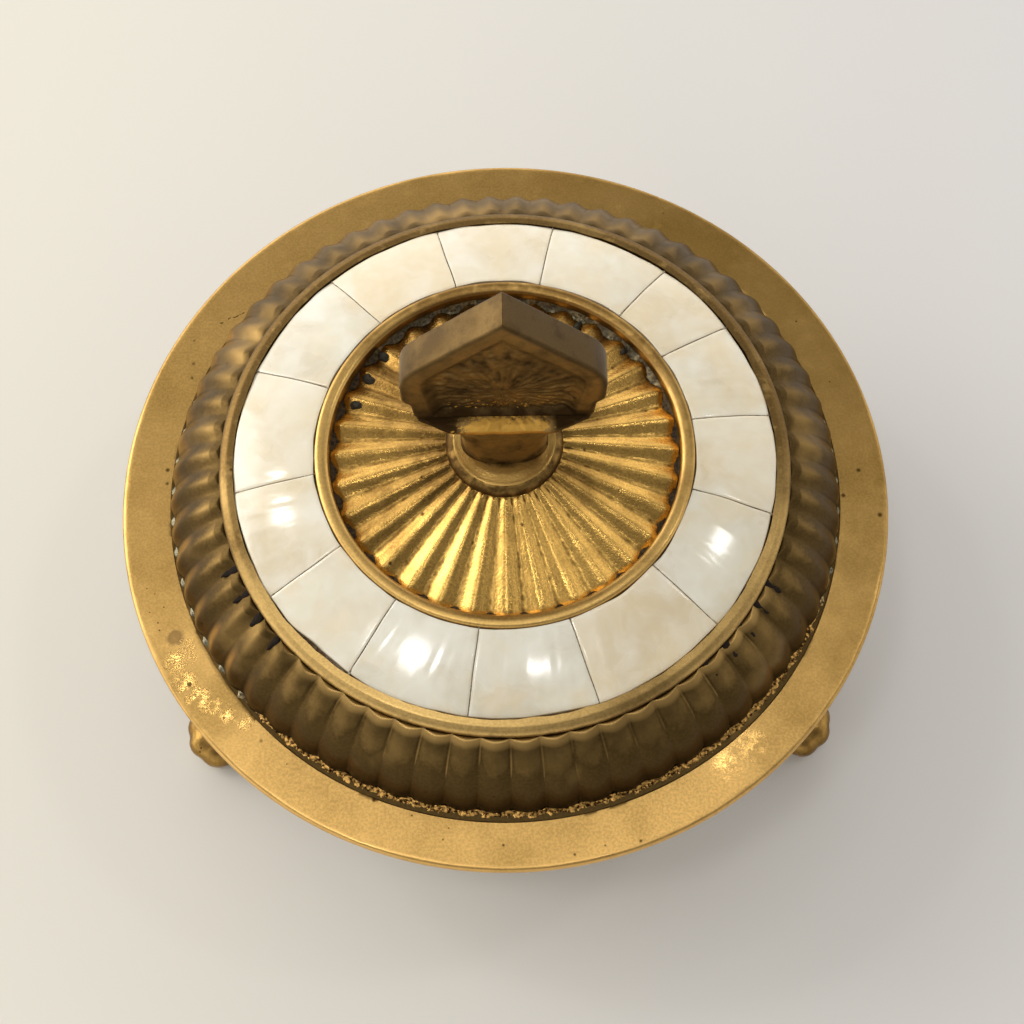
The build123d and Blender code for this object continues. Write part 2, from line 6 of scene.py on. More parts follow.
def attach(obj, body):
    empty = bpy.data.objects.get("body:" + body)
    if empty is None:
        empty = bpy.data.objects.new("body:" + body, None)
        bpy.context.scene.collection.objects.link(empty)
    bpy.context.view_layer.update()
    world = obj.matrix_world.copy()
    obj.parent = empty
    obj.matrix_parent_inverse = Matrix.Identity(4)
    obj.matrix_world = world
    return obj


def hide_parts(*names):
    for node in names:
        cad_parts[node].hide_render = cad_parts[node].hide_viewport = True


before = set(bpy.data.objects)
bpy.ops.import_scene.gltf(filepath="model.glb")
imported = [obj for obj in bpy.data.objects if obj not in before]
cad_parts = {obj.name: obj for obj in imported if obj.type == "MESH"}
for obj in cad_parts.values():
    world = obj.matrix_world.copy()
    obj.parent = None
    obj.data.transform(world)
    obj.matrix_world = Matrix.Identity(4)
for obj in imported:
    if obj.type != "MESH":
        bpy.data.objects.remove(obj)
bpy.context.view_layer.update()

# Flange ring: the flat brass ring round the foot of the lid. It is cast and turned, then
# scraped flat by hand, and soldered to the fluted skirt. Its outer edge is rounded over, and
# years of handling have left it pitted and spotted. Its colour is set lighter at the front
# and darker at the back and sides, painted light, and its rim has a painted highlight at the front
# left.
axis_y = -0.0025
flange_bore = 0.0662
flange_radius = 0.0750
flange_foot = 0.0514
flange_top = 0.0530
joint_closing = 0.00065


def ring_points(angle, radius, height):
    """Point at a radius and height, turned by an angle about the box's upright centre line."""
    angle, radius, height = np.broadcast_arrays(angle, radius, height)
    return np.stack(
        (radius * np.cos(angle), axis_y + radius * np.sin(angle), height), axis=-1
    )


def full_turn(count, start=0.0):
    """Angles of evenly spaced places once round the circle, as a column."""
    return np.linspace(0, 2 * np.pi, count, endpoint=False)[:, None] + start


def unevenness(points, grain, seed):
    """Smooth noise from -1 to 1: seeded numbers on a cubic lattice, eased between its corners."""
    lattice = np.random.default_rng(seed).uniform(-1, 1, (32, 32, 32))
    scaled = points / grain
    cell = np.floor(scaled).astype(int)
    part = scaled - cell
    part = part * part * (3 - 2 * part)
    total = np.zeros(points.shape[:-1])
    for corner in np.ndindex(2, 2, 2):
        share = np.prod(np.where(corner, part, 1 - part), axis=-1)
        index = (cell + np.array(corner)) % 32
        total += share * lattice[index[..., 0], index[..., 1], index[..., 2]]
    return total


def smooth_step(low, high, value):
    """Eased ramp from 0 at low to 1 at high: 3t^2 - 2t^3."""
    share = np.clip((value - low) / (high - low), 0, 1)
    return share * share * (3 - 2 * share)


def polyline(*stations):
    """Points along straight runs: each station after the first gives its place and its steps."""
    places = [np.array([stations[0]], float)]
    for along, across, steps in stations[1:]:
        start = places[-1][-1]
        share = np.linspace(0, 1, steps + 1)[1:, None]
        places.append(start + share * (np.array((along, across)) - start))
    return np.concatenate(places)


def grid_faces(rows, columns, round_rows=True, round_columns=True):
    """Quads between neighbouring points of a grid, joined up where it runs round."""
    number = np.arange(rows * columns).reshape(rows, columns)
    if round_rows:
        number = np.concatenate((number, number[:1]))
    if round_columns:
        number = np.concatenate((number, number[:, :1]), axis=1)
    corners = (number[:-1, :-1], number[1:, :-1], number[1:, 1:], number[:-1, 1:])
    return np.stack(corners, axis=-1).reshape(-1, 4).tolist()


def make_piece(name, points, finish, body, slot, faces=None, crease=35, **attributes):
    """Puts points, faces and per-point numbers into a mesh that rides on a body of the box."""
    mesh = bpy.data.meshes.new(name)
    if faces is None:
        faces = grid_faces(*points.shape[:2])
    mesh.from_pydata(points.reshape(-1, 3).tolist(), [], faces)
    for key, values in attributes.items():
        layer = mesh.attributes.new(key, "FLOAT", "POINT")
        spread = np.broadcast_to(values, points.shape[:-1]).reshape(-1)
        layer.data.foreach_set("value", spread.astype(np.float32))
    mesh.validate()
    mesh.polygons.foreach_set("use_smooth", np.ones(len(mesh.polygons), bool))
    mesh.set_sharp_from_angle(angle=np.radians(crease))
    mesh.materials.append(finish)
    piece = bpy.data.objects.new(name, mesh)
    bpy.context.scene.collection.objects.link(piece)
    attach(piece, body)
    return piece


def shade(red, green, blue):
    """Linear colour from 0-255 levels: ((level / 255 + 0.055) / 1.055) to the power 2.4."""
    return tuple(((level / 255 + 0.055) / 1.055) ** 2.4 for level in (red, green, blue))


def feed(node, inputs):
    """Gives a node its inputs, which are numbers, colours or other nodes' outputs."""
    for key, value in inputs.items():
        if isinstance(value, bpy.types.NodeSocket):
            node.id_data.links.new(value, node.inputs[key])
        else:
            node.inputs[key].default_value = value


def add_node(tree, kind, inputs=None, **settings):
    """Adds a shader node with its settings and its inputs."""
    node = tree.nodes.new(kind)
    for key, value in settings.items():
        setattr(node, key, value)
    feed(node, inputs or {})
    return node


def blend_colours(tree, share, below, above):
    """Mixes two colours by a share. Each is a node's output, or three levels from 0 to 255."""
    inputs = {0: share, 6: below, 7: above}
    for key in (6, 7):
        if not isinstance(inputs[key], bpy.types.NodeSocket):
            inputs[key] = (*shade(*inputs[key]), 1)
    node = add_node(tree, "ShaderNodeMix", inputs, data_type="RGBA", clamp_result=True)
    return node.outputs[2]


def remap(tree, value, low, high, to_low=0.0, to_high=1.0):
    """Straight ramp of a value from one range to another, clamped at both ends."""
    names = ("Value", "From Min", "From Max", "To Min", "To Max")
    inputs = dict(zip(names, (value, low, high, to_low, to_high)))
    return add_node(tree, "ShaderNodeMapRange", inputs).outputs["Result"]


def arithmetic(tree, operation, first, second=0.0):
    """One sum, product or other operation of two numbers."""
    node = add_node(tree, "ShaderNodeMath", {0: first, 1: second}, operation=operation)
    return node.outputs["Value"]


def vector_math(tree, operation, first, second, output="Vector"):
    """One sum, product or other operation of two vectors."""
    node = add_node(tree, "ShaderNodeVectorMath", {0: first, 1: second}, operation=operation)
    return node.outputs[output]


def attribute(tree, name):
    """The number that a piece carries at each of its points under a name."""
    return add_node(tree, "ShaderNodeAttribute", attribute_name=name).outputs["Fac"]


def noise(tree, place, size, detail=3.0, roughness=0.55):
    """Noise whose features are about the given size in metres."""
    inputs = {"Vector": place, "Scale": 1 / size, "Detail": detail, "Roughness": roughness}
    return add_node(tree, "ShaderNodeTexNoise", inputs).outputs["Fac"]


def jitter(tree, place, size, amount):
    """Noise stretched to run from -amount to amount."""
    return remap(tree, noise(tree, place, size), 0.3, 0.7, -amount, amount)


def bumped(tree, height, depth):
    """Normal of a surface whose height, from 0 to 1, stands for a depth in metres."""
    inputs = {"Strength": 1.0, "Distance": depth, "Height": height}
    return add_node(tree, "ShaderNodeBump", inputs).outputs["Normal"]


def start_finish(name, metallic, roughness):
    """A new material with its object-space place and its shader."""
    material = bpy.data.materials.new(name)
    material.use_nodes = True
    tree = material.node_tree
    shader = tree.nodes["Principled BSDF"]
    feed(shader, {"Metallic": metallic, "Roughness": roughness})
    place = add_node(tree, "ShaderNodeTexCoord").outputs["Object"]
    return material, tree, shader, place


def reopen_finish(material):
    """Tree, shader, place and colour of a finish that gets more marks."""
    tree = material.node_tree
    shader = tree.nodes["Principled BSDF"]
    place = tree.nodes["Texture Coordinate"].outputs["Object"]
    return tree, shader, place, shader.inputs["Base Color"].links[0].from_socket


def aged_metal(
    name, bright, aged, grime_and_shade, sand=0.0005, sand_share=0.3, sand_depth=0.00003, gloss=(0.22, 0.42),
    pit_size=0.003, pit_share=0.25, blotch=0.009, mottle=0.2, attributed=True,
):
    """Cast metal: bright and aged in blotches, with grain and pits; its wear number paints grimy
    soiling and painted shade where low, and rubbing and painted highlight where high.
    """
    material, tree, shader, place = start_finish(name, 1.0, gloss[0])
    cloud = noise(tree, place, blotch, 5.0, 0.6)
    # The tarnish number turns the colour to the aged one: tarnishing, and painted light where a piece
    # sets it side by side round the box.
    tarnish, wear = (attribute(tree, key) if attributed else 0.5 for key in ("tarnish", "wear"))
    tarnish_and_light_level = arithmetic(tree, "ADD", tarnish, remap(tree, cloud, 0.3, 0.7, -0.28, 0.28))
    colour = blend_colours(tree, remap(tree, tarnish_and_light_level, 0.1, 0.9), bright, aged)
    grain = noise(tree, place, sand, 2.0, 0.6)
    sandy = remap(tree, tarnish, 0.1, 0.8, sand_share, sand_share * 0.3)
    grains = blend_colours(tree, remap(tree, grain, 0.38, 0.62), grime_and_shade, bright)
    colour = blend_colours(tree, sandy, colour, grains)
    cells = add_node(tree, "ShaderNodeTexVoronoi", {"Vector": place, "Scale": 1 / pit_size}).outputs
    spot = remap(tree, cells["Distance"], 0.07, 0.16, 1.0, 0.0)
    chosen = add_node(tree, "ShaderNodeSeparateColor", {"Color": cells["Color"]}).outputs[0]
    chosen = remap(tree, chosen, 1 - pit_share, 1.02 - pit_share)
    pit = arithmetic(tree, "MULTIPLY", spot, chosen)
    # Low wear goes to the grime_and_shade colour and high to the bright one: soiling and rubbing, and
    # painted shade and painted highlight.
    wear_and_light_level = arithmetic(tree, "ADD", wear, jitter(tree, place, blotch / 4, mottle))
    colour = blend_colours(tree, remap(tree, wear_and_light_level, 0.05, 0.4, 0.9, 0.0), colour, grime_and_shade)
    colour = blend_colours(tree, remap(tree, wear_and_light_level, 0.75, 1.1, 0.0, 0.8), colour, bright)
    colour = blend_colours(tree, arithmetic(tree, "MULTIPLY", pit, 0.85), colour, (60, 38, 14))
    rough = remap(tree, cloud, 0.3, 0.7, *gloss)
    rough = arithmetic(tree, "ADD", rough, remap(tree, wear_and_light_level, 0.05, 0.5, 0.18, 0.0))
    relief = arithmetic(tree, "SUBTRACT", grain, arithmetic(tree, "MULTIPLY", pit, 0.6))
    normal = bumped(tree, relief, sand_depth)
    feed(shader, {"Base Color": colour, "Roughness": rough, "Normal": normal})
    return material


def facing(angle, towards, spread=1.0):
    """How far an angle faces a direction given in degrees: a raised cosine, 1 at it and 0 opposite."""
    return ((1 + np.cos(angle - np.radians(towards))) / 2) ** spread


def at_front(angle):
    """1 along the front, where the lip of the skirt shows, easing to 0 at the sides."""
    return smooth_step(0.35, 0.85, np.cos(angle - np.radians(-80)))


def round_about(angle, values, degrees=range(-90, 241, 30)):
    """Value read off between stations set round the circle in degrees."""
    return np.interp(np.degrees(angle), degrees, values, period=360)


def gap_to(tree, place, across, along):
    """Distance of a place from a spot on the flange's top, whose X and Y are in millimetres."""
    spot = (across * 0.001, along * 0.001, flange_top)
    return vector_math(tree, "DISTANCE", place, spot, "Value")


flange_marks = (
    (-68.9, -22.8, 0.25), (-67.3, -23.9, 0.22), (-65.4, -26.6, 0.28), (-68.0, -27.6, 0.25),
    (-66.3, -29.7, 0.32), (-65.9, -31.2, 0.3), (-63.5, -35.7, 0.25), (-52.8, -48.4, 0.5),
    (-40.8, -57.3, 0.25), (-12.3, -71.5, 0.28), (-1.5, -72.7, 0.45), (11.2, -74.6, 0.4),
    (16.7, -73.1, 0.28), (23.1, -72.4, 0.5), (-17.9, -67.1, 0.35), (-11.3, -69.5, 0.25),
    (-24.8, -64.2, 0.6), (72.9, -10.3, 0.8), (60.5, 33.0, 0.35), (66.0, 19.0, 0.3),
)
rubbed_patches = (
    (-62.6, -37.6, 2.6, 1.0), (-60.6, -41.6, 3.0, 1.0), (-57.7, -44.8, 3.2, 1.0),
    (-55.0, -46.4, 2.8, 0.95), (-52.2, -47.6, 2.8, 0.9), (-48.6, -49.2, 2.2, 0.8),
    (39.4, -58.4, 4.2, 0.66), (44.2, -55.2, 4.6, 0.7),
)
flange_finish = aged_metal(
    "flange brass", (226, 182, 108), (150, 118, 60), (104, 74, 34), sand_share=0.26,
    sand_depth=0.00002, gloss=(0.26, 0.38), pit_size=0.0035, pit_share=0.12, blotch=0.014,
)
tree, shader, place, colour = reopen_finish(flange_finish)
spots = 0.0
for across, along, size in flange_marks:
    gap = gap_to(tree, place, across, along)
    spot = remap(tree, gap, size * 0.0003, size * 0.0008, 0.85, 0.0)
    spots = arithmetic(tree, "MAXIMUM", spots, spot)
gap = gap_to(tree, place, -62.9, -32.8)
gap = arithmetic(tree, "ADD", gap, jitter(tree, place, 0.002, 0.0005))
stain_edge = remap(tree, gap, 0.0009, 0.0019, 0.62, 0.0)
stain = arithmetic(tree, "MULTIPLY", stain_edge, remap(tree, gap, 0.0, 0.0008, 0.85, 1.0))
cut_start, cut_half_length = (-0.0584, 0.0350, flange_top), 0.0036
start = vector_math(tree, "SUBTRACT", place, cut_start)
along_cut = vector_math(tree, "DOT_PRODUCT", start, (0.908, 0.419, 0), "Value")
across_cut = vector_math(tree, "DOT_PRODUCT", start, (-0.419, 0.908, 0), "Value")
across_cut = arithmetic(tree, "ADD", across_cut, jitter(tree, place, 0.003, 0.0004))
from_middle = arithmetic(tree, "SUBTRACT", along_cut, cut_half_length)
from_middle = arithmetic(tree, "ABSOLUTE", from_middle)
cut = remap(tree, arithmetic(tree, "ABSOLUTE", across_cut), 0.00008, 0.00022, 1.0, 0.0)
cut = arithmetic(tree, "MULTIPLY", cut, remap(tree, from_middle, 0.0033, 0.0037, 1.0, 0.0))
cut = arithmetic(tree, "MULTIPLY", cut, remap(tree, noise(tree, place, 0.0012), 0.45, 0.52))
for marked, tone in ((stain, (104, 78, 50)), (spots, (60, 36, 14)), (cut, (52, 34, 16))):
    colour = blend_colours(tree, marked, colour, tone)
rubbed = 0.0
for across, along, size, share in rubbed_patches:
    gap = gap_to(tree, place, across, along)
    patch = remap(tree, gap, size * 0.0003, size * 0.001, share, 0.0)
    rubbed = arithmetic(tree, "MAXIMUM", rubbed, patch)
flakes = remap(tree, noise(tree, place, 0.0017, 4.0, 0.6), 0.36, 0.58, 0.0, 0.72)
dull = arithmetic(tree, "SUBTRACT", 1.0, arithmetic(tree, "MULTIPLY", rubbed, flakes))
rough = arithmetic(tree, "MULTIPLY", shader.inputs["Roughness"].links[0].from_socket, dull)
feed(shader, {"Base Color": colour, "Roughness": rough})

angle = full_turn(1080)
outline, level = polyline(
    (flange_bore, flange_foot), (flange_radius - 0.0003, flange_foot, 3),
    (flange_radius, flange_foot + 0.0003, 1), (flange_radius, flange_top - 0.0007, 2),
    (flange_radius - 0.00006, flange_top - 0.00042, 1),
    (flange_radius - 0.00022, flange_top - 0.0002, 1),
    (flange_radius - 0.00045, flange_top - 0.00006, 1), (flange_radius - 0.0008, flange_top, 1),
    (flange_bore + 0.00008, flange_top, 14), (flange_bore, flange_top - 0.00008, 1),
    (flange_bore, flange_foot, 2),
)[:-1].T
radius = outline + 0.00008 * np.cos(2 * angle + 0.6) * (outline > 0.074)
closed_up = joint_closing * (1 - at_front(angle))
radius = radius - closed_up * np.interp(outline, (flange_bore, 0.0700), (1, 0))
points = ring_points(angle, radius, level)
hand_scraped = 0.00005 * unevenness(points, 0.009, 1) + 0.00002 * unevenness(points, 0.0028, 2)
points[..., 2] += (level > flange_top - 0.00001) * hand_scraped
# The rounded rim is lightened towards the front left, a painted highlight; the lower side and
# underside are set darker.
edge_wear = np.where(outline > 0.0741, 0.45 + 0.55 * facing(angle, -110), 0.6)
edge_wear = np.where(level < flange_top - 0.001, 0.4, edge_wear)
# Its tarnish number is lowest at the front and higher at the back and sides: painted light laid over
# tarnishing.
flange = make_piece(
    "flange", points, flange_finish, "lid", "flange_brass", wear=edge_wear,
    tarnish=round_about(angle, (0.32, 0.0, 0.58, 0.64, 0.8, 0.88, 0.6, 0.54, 0.46, 0.5, 0.5, 0.22)),
)
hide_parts("flange_ring")

# Fluted skirt: the domed wall of the lid, cast with 64 hollow lobes that meet in sharp valleys.
# Its shoulder ends in a flat ledge under the bezel, and its turned-out lip lies in the flange.
# It is the darkest brass of the box, brown at the front. Its valleys, foot and inner ledge are
# darkened, painted shade, and its crests, upper wall and front shoulder are lightened, painted
# highlight.
lobe_count = 64
lobe_crest = np.radians(-86.6)
lobe_depth = 0.0013
skirt_foot_radius = 0.0646
skirt_height = 0.0124
skirt_wall = 0.0012
foot_spread = 0.0008
bezel_radius = 0.0538


def lobe_share(angle, count, crest):
    """Place across a lobe: 0 at its crest, and 1 at the valleys on its two sides."""
    turn = (angle - crest) * count / (2 * np.pi)
    return 2 * np.abs(turn - np.round(turn))


def wall_profile(widest, narrowest, length, roundness, share):
    """Quarter-ellipse wall: its radius, its rise and its outward normal at shares of its length."""
    swell = length + roundness
    end = np.sqrt(1 - (length / swell) ** 2)
    spread = (widest - narrowest) / (1 - end)
    rise = share * length
    lean = np.sqrt(1 - (rise / swell) ** 2)
    slope = -spread * rise / swell ** 2 / lean
    span = np.hypot(1, slope)
    return widest - spread + spread * lean, rise, 1 / span, -slope / span


def lobed_rows(angle, radius, point_share, soft_share, scale):
    """Radii of a lobed wall: the crest's less the lobe's depth, pointed, round or soft."""
    across = lobe_share(angle, lobe_count, lobe_crest)
    pointed = np.sqrt(across ** 2 + 0.02) - np.sqrt(0.02)
    rounded = (1 - soft_share) * across ** 2 + soft_share * (0.5 - 0.5 * np.cos(np.pi * across))
    form = point_share * pointed + (1 - point_share) * rounded
    return radius - lobe_depth * scale * form, across


def set_out_by_eye(angle):
    """Angle of a place on the skirt once its lobes have drifted: up to two degrees at the back."""
    stations = np.radians((-180, -155, -110, -86, -50, -30, 10, 65, 85, 105, 120, 180))
    drift = np.radians((-0.3, 0, 0, -0.5, -0.9, -1.1, -1.0, -0.6, -0.8, -2.1, -1.9, -0.3))
    return angle + np.interp((angle + np.pi) % (2 * np.pi) - np.pi, stations, drift)


def side_by_side(count, *parts):
    """Numbers joined end to end into rows, with each part spread over a count of angles."""
    parts = [np.atleast_2d(part) for part in parts]
    return np.concatenate([np.broadcast_to(part, (count, part.shape[1])) for part in parts], axis=1)


skirt_finish = aged_metal(
    "skirt brass", (178, 144, 86), (76, 59, 31), (30, 20, 9), sand_share=0.14,
    sand_depth=0.000012, gloss=(0.3, 0.42), pit_share=0.06, blotch=0.016, mottle=0.05,
)
angle = full_turn(lobe_count * 20, lobe_crest)
share = np.linspace(0, 1, 25)
wall_radius, wall_rise, normal_out, normal_up = wall_profile(
    skirt_foot_radius, skirt_foot_radius - 0.0097, skirt_height, 0.0008, share
)
front = at_front(angle)
closed_up = joint_closing * (1 - front)
point_share = 0.1 * front + 0.3 * smooth_step(0.6, 1.0, share) + 0.15 * (1 - front)
side_scale = 0.40 + 0.32 * smooth_step(0.0, 0.5, share) + 0.18 * facing(angle, 200, 3)
scale = side_scale + (0.56 - side_scale) * front + 0.06 * smooth_step(0.7, 1.0, share)
wall_radius = wall_radius + foot_spread * (1 - front) * (1 - smooth_step(0.0, 0.9, share))
outer_radius, across = lobed_rows(angle, wall_radius, point_share, 1 - front, scale)
inner_radius = np.maximum(outer_radius - skirt_wall * normal_out, bezel_radius + 0.00005)
inner_height = flange_top + wall_rise - skirt_wall * normal_up
lip_top = flange_top + 0.00015
level_top = flange_top + skirt_height
lip_radii = np.array((0.0640, 0.06605, 0.06615, 0.06615, 0.06605))
shoulder = outer_radius[:, -1:] - 0.00028
ledge = np.array((0.0, 0.25, 0.6, 1.0))
radii = side_by_side(
    len(angle), lip_radii - closed_up * np.array((0, 1, 1, 1, 1)),
    outer_radius[:, :1] + (0.06600 - closed_up - outer_radius[:, :1]) * 0.4, outer_radius,
    shoulder - (shoulder - bezel_radius - 0.00003) * ledge, bezel_radius + 0.00003,
    inner_radius[:, ::-3],
)
heights = side_by_side(
    len(angle), (0.0516, 0.0516, 0.0517, lip_top - 0.0001, lip_top), lip_top,
    np.maximum(flange_top + wall_rise, lip_top),
    level_top + np.array((0.00008, 0.00009, 0.00006, -0.0001)), level_top - 0.0009,
    inner_height[::-3],
)
points = ring_points(set_out_by_eye(angle), radii, heights)
points += 0.00006 * unevenness(points, 0.004, 3)[..., None] * np.array((1, 1, 0))
wear = np.full(radii.shape, 0.45)
wall = slice(6, 6 + len(share))
in_valley = smooth_step(0.7, 1.0, across)
# Valleys darker and crests lighter: painted shade and painted highlight that model the lobes.
wear[:, wall] = 0.5 - (0.28 - 0.18 * front) * in_valley + (0.14 - 0.08 * front) * (1 - across)
# The upper wall is lightened: painted light.
wear[:, wall] += (0.2 + 0.12 * front) * smooth_step(0.45, 0.95, share)
# The foot is darkened where it meets the flange: painted shade.
foot_shade = (0.2 + 0.15 * front) * (1 - smooth_step(0.0, 0.6, share))
wear[:, wall] -= foot_shade + 0.2 * (1 - smooth_step(0.0, 0.12, share))
# Lighter patches in the valleys at the front: painted highlight.
patchy = 0.5 + 0.5 * unevenness(points[:, wall], 0.0022, 30)
wear[:, wall] += 0.42 * front * smooth_step(0.9, 1.0, across) * patchy
# Along the front the shoulder's edge is lit, a painted highlight line; the ledge by the bezel is
# darkened, painted shade with grimy soiling.
shoulder_rows = slice(wall.stop - 1, wall.stop + 1)
wear[:, shoulder_rows] = 0.42 + 0.83 * front
wear[:, shoulder_rows.stop:] = 0.36 + 0.14 * front
wear[:, shoulder_rows.stop + 2:] = 0.1 + 0.15 * front
wear[:, :wall.start] = 0.6
# The tarnish number round the skirt follows the lighting side by side, painted light laid over
# tarnishing; at the front the shoulder and ledge are lightened, painted highlight.
tarnish = np.tile(round_about(
    angle, (1.0, 1.1, 0.95, 0.85, 0.85, 0.7, 0.75, 0.8, 1.1, 0.9, 1.05),
    (-90, -60, -30, 0, 30, 90, 120, 150, 180, 210, 240),
), radii.shape[1])
tarnish[:, shoulder_rows] += 0.2 - 0.9 * front
tarnish[:, shoulder_rows.stop:shoulder_rows.stop + 2] -= 0.5 * front
skirt = make_piece("skirt", points, skirt_finish, "lid", "skirt_brass", wear=wear, tarnish=tarnish)
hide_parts("fluted_skirt")

# Skirt solder: the fillet that joins the lobes' feet to the lip. It is rough gold grit along
# the front, where it was filed, and smooth grey metal in the valleys elsewhere.
fillet_share = np.linspace(0, 1, 7)


def filler(name):
    """Solder and pitch: grey, gold or black by the piece's own numbers, in coarse wet lumps."""
    material, tree, shader, place = start_finish(name, 1.0, 0.35)
    pitch, gold = attribute(tree, "pitch"), attribute(tree, "gold")
    coarse = noise(tree, place, 0.0006, 3.0, 0.6)
    colour = blend_colours(tree, remap(tree, coarse, 0.35, 0.65), (80, 74, 56), (128, 124, 104))
    golden = blend_colours(tree, remap(tree, coarse, 0.42, 0.6), (60, 38, 16), (214, 166, 92))
    colour = blend_colours(tree, gold, colour, golden)
    rough = remap(tree, coarse, 0.3, 0.7, 0.22, 0.42)
    feed(shader, {
        "Base Color": blend_colours(tree, pitch, colour, (34, 26, 20)),
        "Metallic": arithmetic(tree, "SUBTRACT", 1.0, arithmetic(tree, "MULTIPLY", pitch, 0.9)),
        "Roughness": arithmetic(tree, "ADD", rough, arithmetic(tree, "MULTIPLY", pitch, 0.4)),
        "Specular IOR Level": 0.12,
        "Normal": bumped(tree, coarse, 0.00008),
    })
    return material


solder_finish = filler("solder and pitch")
angle = full_turn(lobe_count * 40, lobe_crest)
across = lobe_share(angle, lobe_count, lobe_crest)
front = at_front(angle)
crest_foot = skirt_foot_radius + foot_spread * (1 - front)
foot = crest_foot - 0.0009 * across ** 2 * (1 - 0.6 * front) - 0.0002
silver = smooth_step(0.55, 1.0, across) * (1 - front)
edge = crest_foot - 0.0003 + 0.0005 * silver + 0.0013 * front
rise = 0.0001 + 0.0005 * silver + 0.0003 * front
radii = np.concatenate((foot - 0.0004, foot + (edge - foot) * fillet_share), axis=1)
radii = np.minimum(radii, 0.06610 - joint_closing * (1 - front))
heights = lip_top - 0.0001 + side_by_side(len(angle), 0.0, rise * (1 - 0.75 * fillet_share) ** 1.6)
points = ring_points(set_out_by_eye(angle), radii, heights)
lump = unevenness(points, 0.0006, 4) + 0.5 * unevenness(points, 0.00035, 24)
points[:, 1:, 2] += ((0.00004 + front * 0.00008) * lump)[:, 1:]
solder = make_piece(
    "skirt_filler", points, solder_finish, "lid", "solder",
    crease=60, pitch=0.0, gold=smooth_step(0.1, 0.5, front),
)
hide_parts("skirt_solder")

# Pitch in the skirt's shoulder: black wedges pushed into the tops of a few valleys, left over
# from when the bezel was set. They lie on the brass and are half a millimetre thick.
wedge_angles = (-156.9, -151.3, -145.7, -140.0, -49.0, -43.9, -38.6, -33.4, -28.6)
wedge_radius = 0.0552


def join_parts(parts):
    """Points and faces of several parts as one: each part's corners count on from the last's."""
    faces, shift = [], 0
    for points, part_faces in parts:
        faces += [[corner + shift for corner in face] for face in part_faces]
        shift += points.size // 3
    return np.concatenate([points.reshape(-1, 3) for points, _ in parts]), faces


wedges = []
turn = full_turn(24)
taper = 1 - 0.35 * np.cos(turn)
shrink = np.sqrt(1 - np.linspace(0, 0.999, 7) ** 2)
for number, azimuth in enumerate(wedge_angles):
    dice = np.random.default_rng(100 + number)
    length, width = dice.uniform((0.0014, 0.0006), (0.0020, 0.0009))
    slip = length * np.cos(turn) * shrink
    spread = width * np.sin(turn) * taper * shrink / 0.055
    fall = smooth_step(-0.0002, 0.0024, slip + length)
    height = level_top + 0.00028 - 0.0013 * fall + 0.0005 * np.linspace(0, 1, 7)
    wedge = ring_points(np.radians(azimuth) + spread, wedge_radius + slip, height)
    wedge += 0.00016 * unevenness(wedge, 0.0005, 25)[..., None]
    wedges.append((wedge, grid_faces(*wedge.shape[:2], round_columns=False)))
points, faces = join_parts(wedges)
make_piece("shoulder_pitch", points, solder_finish, "lid", "solder", faces, 60, pitch=1.0, gold=0.0)

# Locating ring and lid plate: hidden under the lid. The ring drops into the bowl's mouth, and
# the spun sheet carries the tiles and the sunburst. Both are plain brass, dull and clean.
hidden_brass = aged_metal(
    "plain brass", (196, 158, 92), (150, 116, 62), (92, 66, 34), sand_share=0.15, gloss=(0.3, 0.5),
    attributed=False,
)


def refinish(names, finish):
    """Gives CAD pieces whose shape is right their finish."""
    for name in names:
        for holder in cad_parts[name].material_slots:
            holder.material = finish


refinish(("locating_ring", "lid_plate"), hidden_brass)

# Outer bezel: a hoop of brass strip with a rounded top, bent round the tiles and filed flush.
# Its inner edge is wavy where the file followed the tiles.
bezel_finish = aged_metal(
    "bezel brass", (214, 178, 110), (108, 84, 46), (58, 40, 19), sand_share=0.2,
    sand_depth=0.00001, gloss=(0.32, 0.44), pit_share=0.12, blotch=0.012,
)
angle = full_turn(1440)
outline, level = polyline(
    (0.0510, 0.0654), (bezel_radius, 0.0654, 3), (bezel_radius, 0.0663, 3),
    (bezel_radius - 0.00012, 0.0667, 1), (bezel_radius - 0.0004, 0.0670, 1),
    (bezel_radius - 0.0009, 0.06722, 1), (0.0523, 0.06745, 3), (0.0510, 0.06758, 4),
    (0.0510, 0.0654, 3),
)[:-1].T
points = ring_points(angle, outline, level)
wave = 0.00013 * unevenness(points, 0.0045, 5) + 0.00006 * unevenness(points, 0.0015, 6)
points = ring_points(angle, outline + (outline < 0.0515) * wave, level)
points[..., 2] += 0.00004 * unevenness(points, 0.006, 7) * (level > 0.067)
# The outer wall is darkened below the top, painted shade; the tarnish number is painted light laid
# over tarnishing, low at the front left for a lit band and high at the left to hold down a lamp's
# highlight.
bezel = make_piece(
    "bezel", points, bezel_finish, "lid", "bezel_brass",
    wear=np.interp(level, (0.0660, 0.0670, 0.0675), (0.2, 0.5, 0.7)),
    tarnish=round_about(
        angle, (0.0, 0.05, 0.6, 0.15, 0.8, 1.0, 1.0, 0.9, 1.1, 0.9, 1.1, 0.45, 0.0),
        (-110, *range(-90, 241, 30)),
    ),
)
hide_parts("outer_bezel")

